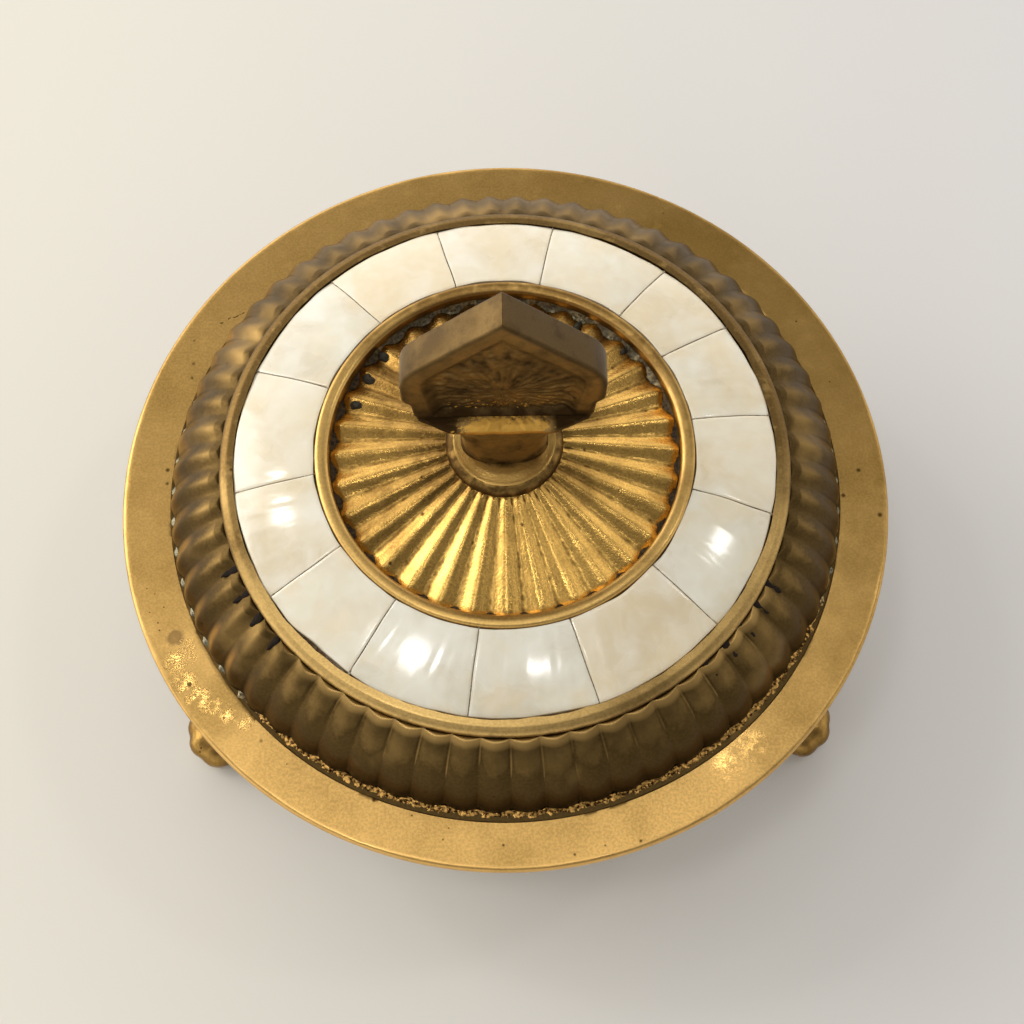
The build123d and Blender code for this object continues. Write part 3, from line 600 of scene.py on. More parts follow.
# Pearl tiles: fourteen hand-sawn sectors of mother-of-pearl, each of its own width, laid in
# cement and ground to one low cone. Their edges wander, and each face leans its own way.
tile_spans = (23.0, 19.4, 27.5, 26.4, 26.8, 27.3, 29.2, 24.8, 23.5, 25.6, 26.4, 29.6, 27.5, 23.0)
tile_warmth = (0.45, 0.6, 0.45, 0.6, 0.9, 0.3, 0.55, 0.5, 0.4, 0.15, 0.15, 0.6, 0.3, 0.55)
first_joint = 8.2
joint_width = 0.00022
tile_outer, tile_outer_top = 0.05095, 0.0674
tile_inner, tile_inner_top = 0.03545, 0.0709
tile_thickness = 0.0016
short_cuts = ((0.0006, -132, 300), (0.0004, -81, 300), (0.0003, 60, 500))


def pearl(name):
    """Mother-of-pearl: milky clouds and warm and rosy veils under a polished coat."""
    material, tree, shader, place = start_finish(name, 0.0, 0.32)
    drift = attribute(tree, "tile")
    aside = add_node(tree, "ShaderNodeCombineXYZ", {"X": drift, "Z": drift}).outputs[0]
    shifted = vector_math(tree, "ADD", place, aside)
    swirl = add_node(tree, "ShaderNodeTexNoise", {"Vector": shifted, "Scale": 120.0})
    bend = vector_math(tree, "MULTIPLY", swirl.outputs["Color"], (0.008, 0.008, 0.008))
    flow = vector_math(tree, "ADD", shifted, bend)
    cloud = noise(tree, flow, 0.014, 3.0, 0.5)
    veil = noise(tree, flow, 0.009, 2.0, 0.5)
    fine = noise(tree, flow, 0.0025, 2.0, 0.5)
    warmth = attribute(tree, "warmth")
    pale = blend_colours(tree, warmth, (223, 222, 207), (233, 217, 183))
    deep = blend_colours(tree, warmth, (208, 202, 182), (222, 200, 156))
    colour = blend_colours(tree, remap(tree, cloud, 0.34, 0.6), deep, pale)
    for pattern, low, high, most, tone in (
        (veil, 0.5, 0.72, 0.5, (226, 206, 164)), (veil, 0.46, 0.28, 0.4, (240, 238, 228)),
        (fine, 0.4, 0.7, 0.2, (246, 240, 226)),
    ):
        colour = blend_colours(tree, remap(tree, pattern, low, high, 0.0, most), colour, tone)
    ripple = arithmetic(tree, "MULTIPLY", noise(tree, flow, 0.0016, 2.0, 0.5), 0.25)
    feed(shader, {
        "Base Color": colour, "Roughness": remap(tree, cloud, 0.3, 0.7, 0.2, 0.42),
        "Coat Weight": 1.0, "Coat Roughness": 0.11, "Subsurface Weight": 0.15,
        "Subsurface Radius": (0.001, 0.0008, 0.0006),
        "Normal": bumped(tree, arithmetic(tree, "ADD", veil, ripple), 0.00006),
    })
    return material


def capped_faces(rows, columns, open_rows=False, flip=False):
    """Quads of a grid open at two ends, and a face over each end: its outer rows or columns."""
    number = np.arange(rows * columns).reshape(rows, columns)
    ends = number if open_rows else number.T
    caps = (ends[0, ::-1], ends[-1]) if flip else (ends[0], ends[-1, ::-1])
    quads = grid_faces(rows, columns, round_rows=not open_rows, round_columns=open_rows)
    return quads + [cap.tolist() for cap in caps]


pearl_finish = pearl("mother-of-pearl")
dice = np.random.default_rng(11)
tile_start = first_joint
along = np.linspace(0, 1, 97)[:, None]
inward, drop = polyline(
    (0, -tile_thickness), (0, -0.0002, 2), (0.004, -0.00006, 1), (0.012, 0, 1), (0.988, 0, 24),
    (0.996, -0.00006, 1), (1, -0.0002, 1), (1, -tile_thickness, 2),
).T
sawn_radius = tile_outer + (tile_inner - tile_outer) * inward
top = tile_outer_top + (tile_inner_top - tile_outer_top) * inward + 0.0008 * inward * (1 - inward)
at_ends = smooth_step(0.85, 1.0, np.abs(2 * inward - 1))
for number, span in enumerate(tile_spans, start=1):
    tilt_across, tilt_along, pillow = dice.uniform(-1, 1, 3)
    low, high = np.radians(tile_start), np.radians(tile_start + span)
    wander = ring_points(np.array([[low], [high]]), sawn_radius, 0.0)
    saw_low, saw_high = 0.0001 * unevenness(wander, 0.005, 20)
    low_edge = low + (joint_width / 2 + saw_low) / sawn_radius
    high_edge = high - (joint_width / 2 - saw_high) / sawn_radius
    angle = low_edge + (high_edge - low_edge) * along
    lift = 0.00005 * (tilt_across * (2 * along - 1) + tilt_along * (2 * inward - 1))
    swell = along * (1 - along) * 4 + inward * (1 - inward) * 4 - 1
    lift = lift + 0.00014 * (1 + 0.5 * pillow) * swell
    sawn = np.minimum(along, 1 - along) * np.radians(span) * sawn_radius
    bevel = -0.00008 * (1 - smooth_step(0.0, 0.0003, sawn))
    edge = 0.00018 * unevenness(ring_points(angle, sawn_radius, 0.0), 0.004, 21) - 0.0001
    cut_short = sum(gap * facing(angle, towards, spread) for gap, towards, spread in short_cuts)
    edge = edge - cut_short * (inward < 0.5)
    radius = sawn_radius + edge * at_ends * np.sign(0.5 - inward)
    veins = np.stack((
        angle * 0.043 + 0.15 * (radius - tile_inner), 0.16 * radius,
        np.full_like(radius, 0.001 * number),
    ), axis=-1)
    growth = 0.000018 * unevenness(veins, 0.0011, 31) + 0.00003 * unevenness(veins, 0.003, 32)
    height = top + drop + (lift + bevel) * (drop > -0.0005) + growth * (drop > -0.0005)
    points = ring_points(angle, radius, height)
    tile = make_piece(
        f"tile_{number:02d}", points, pearl_finish, "lid", "pearl",
        capped_faces(*points.shape[:2], open_rows=True),
        tile=0.37 * number, warmth=tile_warmth[number - 1],
    )
    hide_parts(f"pearl_tile_{number:02d}")
    tile_start += span

# Inlay cement: the brown resin bed of the tiles, which shows as thin lines in their joints and
# as speckled grey where a tile was cut short.
cement, tree, shader, place = start_finish("inlay cement", 0.0, 0.75)
speck, patch = noise(tree, place, 0.0005, 2.0), noise(tree, place, 0.004, 2.0)
colour = blend_colours(tree, remap(tree, patch, 0.35, 0.6), (110, 82, 50), (168, 156, 134))
colour = blend_colours(tree, remap(tree, speck, 0.5, 0.62, 0.0, 0.8), colour, (58, 44, 30))
feed(shader, {"Base Color": colour})
refinish(("inlay_cement",), cement)

# Inner ring: a hoop of half-round brass wire that hides the tiles' inner edge.
ring_finish = aged_metal(
    "ring brass", (220, 180, 106), (140, 108, 58), (74, 50, 22), sand_share=0.2,
    sand_depth=0.000015, gloss=(0.28, 0.4), pit_share=0.1,
)
ring_bore, ring_edge = 0.0328, 0.0354
angle = full_turn(1080)
bow = np.linspace(0, np.pi, 15)
bow_radius = 0.0341 + 0.0013 * np.cos(bow)
bow_height = 0.0705 + 0.0008 * np.sin(bow) ** 0.8 - 0.0003 * (1 - np.cos(bow)) / 2
radius = np.concatenate(((ring_bore, 0.0341, ring_edge, ring_edge), bow_radius, (ring_bore,)))
height = np.concatenate(((0.0668, 0.0668, 0.0668, 0.0690), bow_height, (0.0690,)))
points = ring_points(angle, radius + 0.00004 * np.cos(3 * angle + 1), height)
points[..., 2] += 0.00005 * unevenness(points, 0.005, 8) * (height > 0.07)
# The crown is lightened and the sides darkened, painted highlight and painted shade; the tarnish
# number makes the ring lightest at the front left, painted light.
inner = make_piece(
    "pearl_ring", points, ring_finish, "lid", "bezel_brass",
    wear=np.interp(height, (0.0690, 0.0706, 0.0712), (0.35, 0.55, 0.8)),
    tarnish=1 - facing(angle, -110),
)
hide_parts("inner_ring")

# Sunburst: a stamped brass disc whose 32 lobes climb to the hub under the knob's collar. The
# lobes are lightened on their crests, painted highlight, and darkened in the creases and at both
# ends, painted shade, with rough ends at the hub.
sunburst_finish = aged_metal(
    "sunburst brass", (230, 184, 98), (120, 90, 44), (76, 50, 18), sand=0.0004,
    sand_depth=0.00005, gloss=(0.2, 0.32), pit_share=0.1, blotch=0.006,
)
sun_lobes, sun_crest = 32, -np.pi / 2
sun_rim, hub, stud_bore = 0.0326, 0.0112, 0.00265
rim_crest, hub_crest = 0.0686, 0.0727
rim_depth, hub_depth = 0.0011, 0.0004
angle = full_turn(sun_lobes * 36, sun_crest)
across = lobe_share(angle, sun_lobes, sun_crest)
inward = np.linspace(0, 1, 29)
radius = sun_rim + (hub - sun_rim) * inward
depth = rim_depth + (hub_depth - rim_depth) * inward
top = rim_crest + (hub_crest - rim_crest) * inward
top = top - depth * (0.3 * across + 0.7 * (0.5 - 0.5 * np.cos(np.pi * across)))
at_rim = 1 - smooth_step(0.0, 0.04, inward)
top = top - 0.0003 * at_rim
top = top - 0.00015 * smooth_step(0.93, 1.0, inward) * (0.4 + across)
radii = side_by_side(
    len(angle), (stud_bore, hub, sun_rim, sun_rim),
    radius - 0.0004 * across ** 2 * (1 - smooth_step(0.0, 0.12, inward)), (0.0106, stud_bore),
)
heights = side_by_side(len(angle), (0.0712, 0.0712, 0.0668, 0.0672), top, (0.07245, 0.07245))
points = ring_points(angle, radii, heights)
rough = unevenness(points, 0.0012, 9)
grit = 0.00004 * rough + 0.00006 * rough * smooth_step(0.8, 1.0, across)
points[:, 5:-2, 2] += grit[:, 5:-2]
crease = smooth_step(0.6, 1.0, across)
# Crests lighter and creases darker, with the ends at the rim and under the collar darkened: painted
# highlight and painted shade.
wear = np.full(radii.shape, 0.4)
wear[:, 4:-2] = 0.72 - 0.48 * crease - 0.25 * smooth_step(0.9, 1.0, inward) - 0.35 * at_rim
wear[:, :4] = 0.0
# The tarnish number round the disc is painted light laid over tarnishing, and grows towards the hub.
tarnish = 0.25 + round_about(
    angle, (-0.2, -0.2, 0.2, -0.1, 0.35, 0.35, 0.45, 0.7, 0.6, 0.28, 0.5, -0.1)
) + 0.4 * smooth_step(0.4, 1.0, (0.031 - radii) / 0.02)
sunburst = make_piece(
    "sunburst", points, sunburst_finish, "lid", "sunburst_brass", crease=50,
    wear=wear, tarnish=tarnish,
)
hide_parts("sunburst_disc")

# Sunburst filler: solder and pitch between the disc and the ring, grey at the back, red-brown
# at the sides and black in the valleys at the upper left.
angle = full_turn(1536)
outline, level = polyline(
    (0.0314, 0.0668), (0.0329, 0.0668, 1), (0.0329, 0.0680, 1), (0.0325, 0.0678, 3),
    (0.0315, 0.0676, 5), (0.0314, 0.0668, 1),
)[:-1].T
raised = level > 0.0671
at_back = smooth_step(0.3, 0.75, np.cos(angle - np.radians(78)))
at_left = smooth_step(0.6, 0.9, np.cos(angle - np.radians(160)))
high = raised * (0.0001 + 0.0002 * at_back + 0.0001 * at_left)
high = high + 0.0007 * at_back * np.interp(outline, (0.0320, 0.0329), (0, 1)) * raised
points = ring_points(angle, outline, level + high)
lump = unevenness(points, 0.0014, 10) + 0.4 * unevenness(points, 0.0005, 26)
points[..., 2] += raised * 0.0002 * lump
bright = smooth_step(0.0, 0.45, lump)
burst_filler = make_piece(
    "sunburst_filler", points, solder_finish, "lid", "solder", crease=60,
    pitch=0.85 - (0.35 + 0.45 * bright) * at_back, gold=0.5 - 0.4 * at_back,
)
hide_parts("sunburst_solder")

# Sunburst pitch: five black lumps in the ends of its creases, left from when the disc was set.
# They are two millimetres long at most, matt, and pinched where the tool let go of them.
lump_places = (
    (30.8, 138, 1.2), (29.9, 148.3, 1.4), (29.6, 160, 1.2), (30.3, 61.3, 1.0), (31.3, 42.1, 0.8),
)
lumps = []
turn = full_turn(24)
climb = np.linspace(0, np.pi / 2, 8)
for out, azimuth, size in lump_places:
    slip = size * 0.001 * np.cos(turn) * np.cos(climb) * (1.3 - 0.3 * np.sin(climb))
    sweep = size * 0.0007 * np.sin(turn) * np.cos(climb)
    height = 0.0682 + size * 0.0009 * np.sin(climb)
    lump = ring_points(np.radians(azimuth) + sweep / 0.03, out * 0.001 + slip, height)
    lump += 0.00022 * unevenness(lump, 0.0007, 27)[..., None]
    lumps.append((lump, grid_faces(*lump.shape[:2], round_columns=False)))
points, faces = join_parts(lumps)
make_piece("sunburst_pitch", points, solder_finish, "lid", "solder", faces, 60, pitch=0.8, gold=0.0)

# Knob collar: a low turned cone between the sunburst and the knob, lightened on its top edge,
# painted highlight and polish, and darkened next to the neck and down its side, painted shade.
collar_finish = aged_metal(
    "collar brass", (206, 168, 96), (146, 112, 58), (62, 42, 20), sand=0.0004, sand_share=0.15,
    gloss=(0.24, 0.38), pit_share=0.1,
)
angle = full_turn(360)
outline, level = polyline(
    (stud_bore, 0.0725), (0.0109, 0.0725, 4), (0.01085, 0.0730, 2), (0.0105, 0.0736, 2),
    (0.0100, 0.0740, 2), (0.0095, 0.0742, 2), (0.0092, 0.0743, 1), (0.0089, 0.07432, 1),
    (0.0072, 0.07465, 4), (0.0050, 0.0748, 2), (stud_bore, 0.0743, 2), (stud_bore, 0.0725, 1),
)[:-1].T
points = ring_points(angle, outline, level)
points[..., 2] += 0.00003 * unevenness(points, 0.004, 12)
# Dark next to the neck and down the side, painted shade; light on the top edge, painted highlight with
# polish.
wear_and_light_at, wear_and_light_by = (0.0060, 0.0072, 0.0088, 0.0091, 0.0094, 0.0109), (0.2, 0.65, 0.7, 1.1, 0.2, 0.08)
collar = make_piece(
    "collar", points, collar_finish, "lid", "cast_brass",
    wear=np.interp(outline, wear_and_light_at, wear_and_light_by), tarnish=0.62,
)
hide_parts("knob_collar")

# Knob: a solid casting, gabled like a leaf, with a sunk fan on both faces and a shelf over its
# neck. The gable's faces are worn smooth and brown, and the shelf and the panel keep their skin.
# The right face, the parts under the panel, the shelf's wings and the neck's foot are darkened,
# painted shade, and the shelf's top is gold with a painted highlight.
knob_foot = 0.0744
half_thickness = 0.0031
panel_sink = 0.0011


def rounded_outline(corners, rounds, steps=8):
    """Closed outline with its corners cut to arcs: each arc is a quadratic curve between its ends."""
    corners = np.array(corners, float)
    pieces = []
    for number, cut in enumerate(rounds):
        here = corners[number]
        before, after = corners[number - 1], corners[(number + 1) % len(corners)]
        start = here + (before - here) * min(0.49, cut / np.linalg.norm(before - here))
        end = here + (after - here) * min(0.49, cut / np.linalg.norm(after - here))
        turn = np.linspace(0, 1, steps + 1)[:, None]
        pieces.append((1 - turn) ** 2 * start + 2 * turn * (1 - turn) * here + turn ** 2 * end)
    outline = np.concatenate(pieces)
    spans = []
    for start, end in zip(outline, np.roll(outline, -1, axis=0)):
        parts = max(1, int(np.ceil(np.linalg.norm(end - start) / 0.0004)))
        spans.append(start + np.arange(parts)[:, None] / parts * (end - start))
    return np.concatenate(spans)


def reach_along(outline, centre, directions):
    """Distance from a centre to a closed outline along each direction, read off by angle."""
    offset = outline - centre
    turn = np.arctan2(offset[:, 1], offset[:, 0])
    order = np.argsort(turn)
    wanted = np.arctan2(directions[:, 1], directions[:, 0])
    return np.interp(wanted, turn[order], np.hypot(*offset.T)[order], period=2 * np.pi)


def both_faces(half):
    """Numbers of the front face from its middle out, then those of the back face from its edge in."""
    return np.concatenate((half, half[:, ::-1]), axis=1)


right_side = [(0.0175, 0.0296), (0.0173, 0.0214), (0.0159, 0.0198), (0.0156, 0.0156), (0.0076, 0.0097)]
leaf_corners = [(0, 0.0471), *[(-x, z) for x, z in right_side], *right_side[::-1]]
leaf_rounds = [0.0002, 0.0046, 0.0006, 0.0005, 0.0008, 0.001, 0.001, 0.0008, 0.0005, 0.0006, 0.0046]
leaf = rounded_outline(leaf_corners, leaf_rounds)
panel = rounded_outline(
    [(0, 0.0426), (-0.0143, 0.0283), (-0.0124, 0.0156), (0.0124, 0.0156), (0.0143, 0.0283)],
    [0.0004, 0.003, 0.0004, 0.0004, 0.003],
)
leaf_centre = np.array((0, 0.0240))
rays = leaf - leaf_centre
leaf_reach = np.hypot(*rays.T)[:, None]
directions = rays / leaf_reach
panel_reach = reach_along(panel, leaf_centre, directions)[:, None]
panel_reach = np.minimum(panel_reach, leaf_reach - 0.0012)
half_reach = np.concatenate((
    panel_reach * np.linspace(0, 1, 46)[1:], panel_reach + np.array((0.0002, 0.0004)),
    panel_reach + (leaf_reach - 0.0005 - panel_reach) * np.array((0.4, 0.7, 1.0)),
    leaf_reach - np.array((0.00022, 0.00006, 0.0)),
), axis=1)
half_depths = half_thickness - np.concatenate((np.zeros(50), (0.00008, 0.00022, 0.0005)))
spot = leaf_centre + directions[:, None] * half_reach[..., None]
face_x, face_z = np.moveaxis(spot, -1, 0)
fan_x, fan_z = np.moveaxis(spot - np.array((0, 0.0215)), -1, 0)
fan_turn, fan_out = np.arctan2(fan_x, fan_z), np.hypot(fan_x, fan_z)
fold = 0.6 * np.cos(26 * fan_turn + 2.0 * np.sin(fan_out * 500)) + 0.7 * np.cos(43 * fan_turn + 1)
in_panel = 1 - smooth_step(0.8, 1.0, half_reach / panel_reach)
fan = 0.00005 * fold * smooth_step(0.002, 0.006, fan_out) * in_panel
solid_place = np.stack((face_x, face_z, np.zeros_like(face_x)), axis=-1)
streaks = np.stack((fan_turn * 0.006, fan_out * 0.35, np.zeros_like(fan_out)), axis=-1)
fan += in_panel * (
    0.00008 * unevenness(solid_place, 0.0009, 13) + 0.00008 * unevenness(streaks, 0.0008, 19)
)
fan += in_panel * 0.00005 * unevenness(solid_place, 0.0005, 28)
sink = panel_sink * (1 - smooth_step(0.82, 1.02, half_reach / panel_reach))
depth = half_depths - sink * (half_reach <= panel_reach) + fan
front_back = np.repeat((-1, 1), len(half_depths))
points = np.stack((
    both_faces(face_x), axis_y + front_back * both_faces(depth), knob_foot + both_faces(face_z),
), axis=-1)
points[..., 1] += 0.00004 * unevenness(points, 0.003, 14)
low_panel = in_panel * smooth_step(0.0245, 0.0175, face_z)
panel_wear = 0.24 + 900 * fan * (1 - low_panel) + 0.08 * low_panel
half_wear = np.where(half_reach < panel_reach, panel_wear, 0.32)
half_wear = half_wear + 0.12 * smooth_step(-0.0007, 0.0, half_reach - leaf_reach)
# Low on each face, by the shelf, the colour is darkened: painted shade.
half_wear = half_wear - 0.3 * smooth_step(0.021, 0.012, face_z) * (half_reach < leaf_reach * 0.99)
speckle = np.clip(unevenness(solid_place, 0.0006, 33), 0, 1)
half_gilt = in_panel * (0.45 * smooth_step(0.0270, 0.0170, face_z) + 0.35 * speckle * low_panel)
half_gilt = half_gilt * (1 - smooth_step(0.0085, 0.0125, np.abs(face_x)))
bevel_start = leaf_reach - 0.0010
# The right bevel is darker than the left, painted shade from light falling from the left, laid over
# tarnishing.
bevel_tarnish = 0.92 + 0.12 * np.tanh(face_x / 0.002)
half_tarnish = np.where(half_reach > bevel_start, bevel_tarnish, 0.6)
# Under the panel the face is darkened further: painted shade.
under_panel = smooth_step(0.0180, 0.0165, face_z) * (half_reach < bevel_start)
half_tarnish = half_tarnish + 0.4 * under_panel
leaf_parts = [(
    points, capped_faces(*points.shape[:2]), *map(both_faces, (half_wear, half_tarnish, half_gilt)),
)]
knob_finish = aged_metal(
    "knob brass", (186, 150, 88), (84, 66, 40), (48, 32, 15), sand=0.0003, sand_share=0.1,
    sand_depth=0.000012, gloss=(0.34, 0.46), pit_share=0.04, blotch=0.012,
)
tree, shader, place, colour = reopen_finish(knob_finish)
# The gilt number lays gold on the lower panel, its own colour, and on the shelf's top, its colour with
# a painted highlight.
gilt_and_sheen_share = arithmetic(tree, "MULTIPLY", attribute(tree, "gilt"), 0.45)
gilt_and_sheen_share = arithmetic(tree, "ADD", gilt_and_sheen_share, noise(tree, place, 0.0006, 3.0, 0.6))
gilt_and_sheen_share = remap(tree, gilt_and_sheen_share, 0.80, 0.88)
feed(shader, {"Base Color": blend_colours(tree, gilt_and_sheen_share, colour, (200, 154, 72))})

neck_height, neck_width, neck_depth, neck_squareness = 0.0156, 0.0077, 0.0052, 2.6
neck_climb = np.concatenate((
    (0.0, 0.05, 0.2, 0.35, 0.5, 0.6, 0.68, 0.76, 0.84, 0.9, 0.95, 0.985), np.ones(14),
))
shrink = np.concatenate((np.ones(12), np.linspace(0.98, 0.05, 14)))
turn = full_turn(180)
shelf = rounded_outline(
    [(-0.0153, -0.0030), (-0.0088, -0.0058), (0.0088, -0.0058), (0.0153, -0.0030),
     (0.0153, 0.0030), (0.0088, 0.0058), (-0.0088, 0.0058), (-0.0153, 0.0030)], [0.0008] * 8,
)
round_shelf = np.concatenate((np.cos(turn), np.sin(turn)), axis=1)
shelf_reach = reach_along(shelf, np.zeros(2), round_shelf)[:, None]
neck_reach = (
    (np.abs(np.cos(turn)) / neck_width) ** neck_squareness
    + (np.abs(np.sin(turn)) / neck_depth) ** neck_squareness
) ** (-1 / neck_squareness)
widening = np.interp(neck_climb, (0, 0.05, 0.4, 0.68, 0.84, 0.95, 1), (0.05, 0, 0.02, 0.25, 0.7, 1, 1))
reach = shrink * (neck_reach + widening * (shelf_reach - neck_reach))
neck_x, neck_y = reach * np.cos(turn), reach * np.sin(turn)
shelf_fall = 0.0008 * shrink ** 2 * (neck_climb > 0.9) * np.abs(neck_y) / 0.0058
neck_z = knob_foot + neck_height * neck_climb - shelf_fall
points = np.stack((neck_x, axis_y + neck_y, neck_z), axis=-1)
points += 0.00008 * unevenness(points, 0.002, 15)[..., None]
speckle = 0.5 * unevenness(points, 0.0005, 29) * (neck_climb > 0.99)
points[..., 2] += 0.00012 * speckle
off_centre = np.abs(points[..., 0])
# The shelf's side wings are darkened: painted shade.
wings = smooth_step(0.0070, 0.0100, off_centre) * (neck_climb > 0.8)
# The neck is dark at its foot on the collar, painted shade, and lighter at the shelf's edge, painted
# highlight.
neck_wear = np.interp(neck_climb, (0, 0.05, 0.15, 0.85, 0.97, 1.0), (0.0, 0.1, 0.34, 0.28, 0.5, 0.3))
neck_wear = neck_wear + 0.3 * speckle - 0.3 * wings
ragged = off_centre + 0.001 * unevenness(points, 0.0015, 34)
# The shelf's top is gold, most towards its front and back edges: its own colour with a painted
# highlight.
neck_gilt = 1 - 0.6 * smooth_step(0.0055, 0.0085, ragged) - 0.4 * smooth_step(0.0085, 0.0110, ragged)
neck_gilt = (neck_climb > 0.93) * neck_gilt
neck_gilt = neck_gilt * np.interp(np.abs(points[..., 1] - axis_y), (0.0031, 0.0048), (0.7, 1.15))
# The wings' tone is darkened further: painted shade.
neck_tarnish = np.where(neck_climb > 0.9, 0.4, 0.3) + 0.5 * wings
neck_faces = capped_faces(*points.shape[:2], flip=True)
leaf_parts.append((points, neck_faces, neck_wear, neck_tarnish, neck_gilt))
points, faces = join_parts([part[:2] for part in leaf_parts])
wear, tarnish, gilt = (
    np.concatenate([part[column].reshape(-1) for part in leaf_parts]) for column in (2, 3, 4)
)
knob = make_piece(
    "leaf_knob", points, knob_finish, "lid", "cast_brass", faces, 38,
    wear=wear, tarnish=tarnish, gilt=gilt,
)
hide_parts("knob")

# Knob stud, washer and nut: under the lid, they pull the knob down on the collar.
refinish(("knob_stud", "knob_washer", "knob_nut"), hidden_brass)

# Bowl: the box's body, cast with lobes that follow the skirt's, and turned smooth inside.
bowl_finish = aged_metal(
    "bowl brass", (184, 146, 84), (104, 79, 42), (50, 34, 16), sand_share=0.2,
    sand_depth=0.00002, gloss=(0.28, 0.44), pit_share=0.12, mottle=0.08,
)
rim_underside, bowl_foot, bowl_floor = 0.04985, 0.0100, 0.0114
bowl_mouth, bowl_base, bowl_roundness = 0.0660, 0.0380, 0.00265
hollow_mouth, hollow_base, hollow_depth = 0.0635, 0.0355, 0.03845
angle = full_turn(lobe_count * 18, lobe_crest)
wall_radius, wall_drop, _, _ = wall_profile(
    bowl_mouth, bowl_base, rim_underside - bowl_foot, bowl_roundness, np.linspace(0, 1, 31)
)
outer_radius, across = lobed_rows(angle, wall_radius, 0.15, 0.0, wall_radius / bowl_mouth)
hollow_radius, hollow_drop, _, _ = wall_profile(
    hollow_mouth, hollow_base, hollow_depth, bowl_roundness, np.linspace(0, 1, 16)
)
radii = side_by_side(
    len(angle), (0.0001, 0.020), outer_radius[:, ::-1], hollow_radius, (0.020, 0.0001)
)
heights = side_by_side(
    len(angle), (bowl_foot, bowl_foot), (rim_underside - wall_drop)[::-1],
    rim_underside - hollow_drop, (bowl_floor, bowl_floor),
)
points = ring_points(angle, radii, heights)
wear = np.full(radii.shape, 0.5)
wear[:, 2:33] = 0.55 - 0.28 * smooth_step(0.5, 1.0, across)
bowl = make_piece(
    "bowl_body", points, bowl_finish, "base", "cast_brass",
    capped_faces(*points.shape[:2], flip=True), wear=wear, tarnish=0.7,
)
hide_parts("bowl")

# Bowl rim: a flat ring soldered round the bowl's mouth, on which the flange of the lid rests.
angle = full_turn(720)
outline, level = polyline(
    (hollow_mouth, rim_underside), (0.0729, rim_underside, 3), (0.0732, 0.0501, 1),
    (0.0732, 0.05085, 1), (0.0729, 0.05115, 1), (0.0637, 0.05115, 6), (hollow_mouth, 0.05095, 1),
    (hollow_mouth, rim_underside, 1),
)[:-1].T
points = ring_points(angle, outline, level)
points[..., 2] += 0.00002 * unevenness(points, 0.007, 16)
rim = make_piece(
    "mouth_rim", points, bowl_finish, "base", "plain_brass",
    wear=np.where(outline > 0.0725, 0.8, 0.55), tarnish=0.4,
)
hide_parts("bowl_rim")

# Feet: three solid castings, each a leg that leans on the bowl and a paw of three round toes.
# They are left as cast, pitted and brown, and shine only where the toes are rubbed.
foot_finish = aged_metal(
    "foot brass", (208, 168, 92), (132, 100, 50), (52, 36, 16), sand=0.0008, sand_share=0.25,
    sand_depth=0.00006, gloss=(0.24, 0.4), pit_size=0.002, pit_share=0.4,
)
calf_height, calf_reach, toe_middle = 0.0310, 0.06285, 0.0730
leg_stations = np.array((
    (1.27, 0.18, 3.4, 0.8), (1.19, 0.12, 6.2, 1.9), (1.0, 0.0, 8.0, 3.0), (0.78, -0.17, 6.8, 3.7),
    (0.55, -0.22, 5.2, 3.6), (0.35, 0.08, 5.0, 3.5), (0.22, 0.5, 5.4, 3.2), (0.13, 0.95, 4.4, 2.2),
))


def tube(centres, half_widths, half_depths, sides=24):
    """Closed tube of elliptical sections in the plane square to its path, which runs in X and Z."""
    along = np.gradient(centres, axis=0)
    along /= np.linalg.norm(along, axis=1)[:, None]
    outward = np.stack((-along[:, 1], along[:, 0]), axis=1)
    turn = np.linspace(0, 2 * np.pi, sides, endpoint=False)
    wide = half_widths[:, None] * np.cos(turn)
    deep = half_depths[:, None] * np.sin(turn)
    points = np.stack((
        centres[:, :1] + outward[:, :1] * deep, wide, centres[:, 1:] + outward[:, 1:] * deep,
    ), axis=-1)
    return points, capped_faces(*points.shape[:2], open_rows=True)


def turned(points, turn):
    """Points turned by an angle about the upright axis."""
    x, y, z = points.reshape(-1, 3).T
    return np.stack((
        x * np.cos(turn) - y * np.sin(turn), x * np.sin(turn) + y * np.cos(turn), z,
    ), axis=1)


fine_station = np.linspace(0, len(leg_stations) - 1, 43)
climb, outward, half_width, half_depth = (
    np.interp(fine_station, np.arange(len(leg_stations)), column) for column in leg_stations.T
)
leg_reach = calf_reach + outward * (toe_middle - calf_reach)
leg_centres = np.stack((leg_reach, climb * calf_height), axis=1)
foot_parts = [tube(leg_centres, half_width * 0.001, half_depth * 0.001)]
toe_length, toe_thickness = 0.0070, 0.0041
along = np.linspace(-1, 1, 25)
bulge = toe_thickness * np.sqrt(np.clip(1 - np.abs(along) ** 2.6, 0.0004, 1))
centres = np.stack((toe_length * along, 0.0031 + 0.0004 * (1 - along ** 2)), axis=1)
for step in (-1, 0, 1):
    toe_points, toe_faces = tube(centres, bulge, 0.92 * bulge)
    toe_points = turned(toe_points, np.radians(7 * step))
    toe_points += (toe_middle - 0.0012 * abs(step), 0.0027 * step, 0)
    toe_points[:, 2] = np.maximum(toe_points[:, 2], 0)
    foot_parts.append((toe_points, toe_faces))
rough_points, rough_faces = join_parts(foot_parts)
rough_mesh = bpy.data.meshes.new("rough foot")
rough_mesh.from_pydata(rough_points.tolist(), [], rough_faces)
rough_foot = bpy.data.objects.new("rough foot", rough_mesh)
bpy.context.scene.collection.objects.link(rough_foot)
fuse = rough_foot.modifiers.new("fuse", "REMESH")
fuse.mode = "VOXEL"
fuse.voxel_size = 0.0004
soften = rough_foot.modifiers.new("soften", "SMOOTH")
soften.iterations = 24
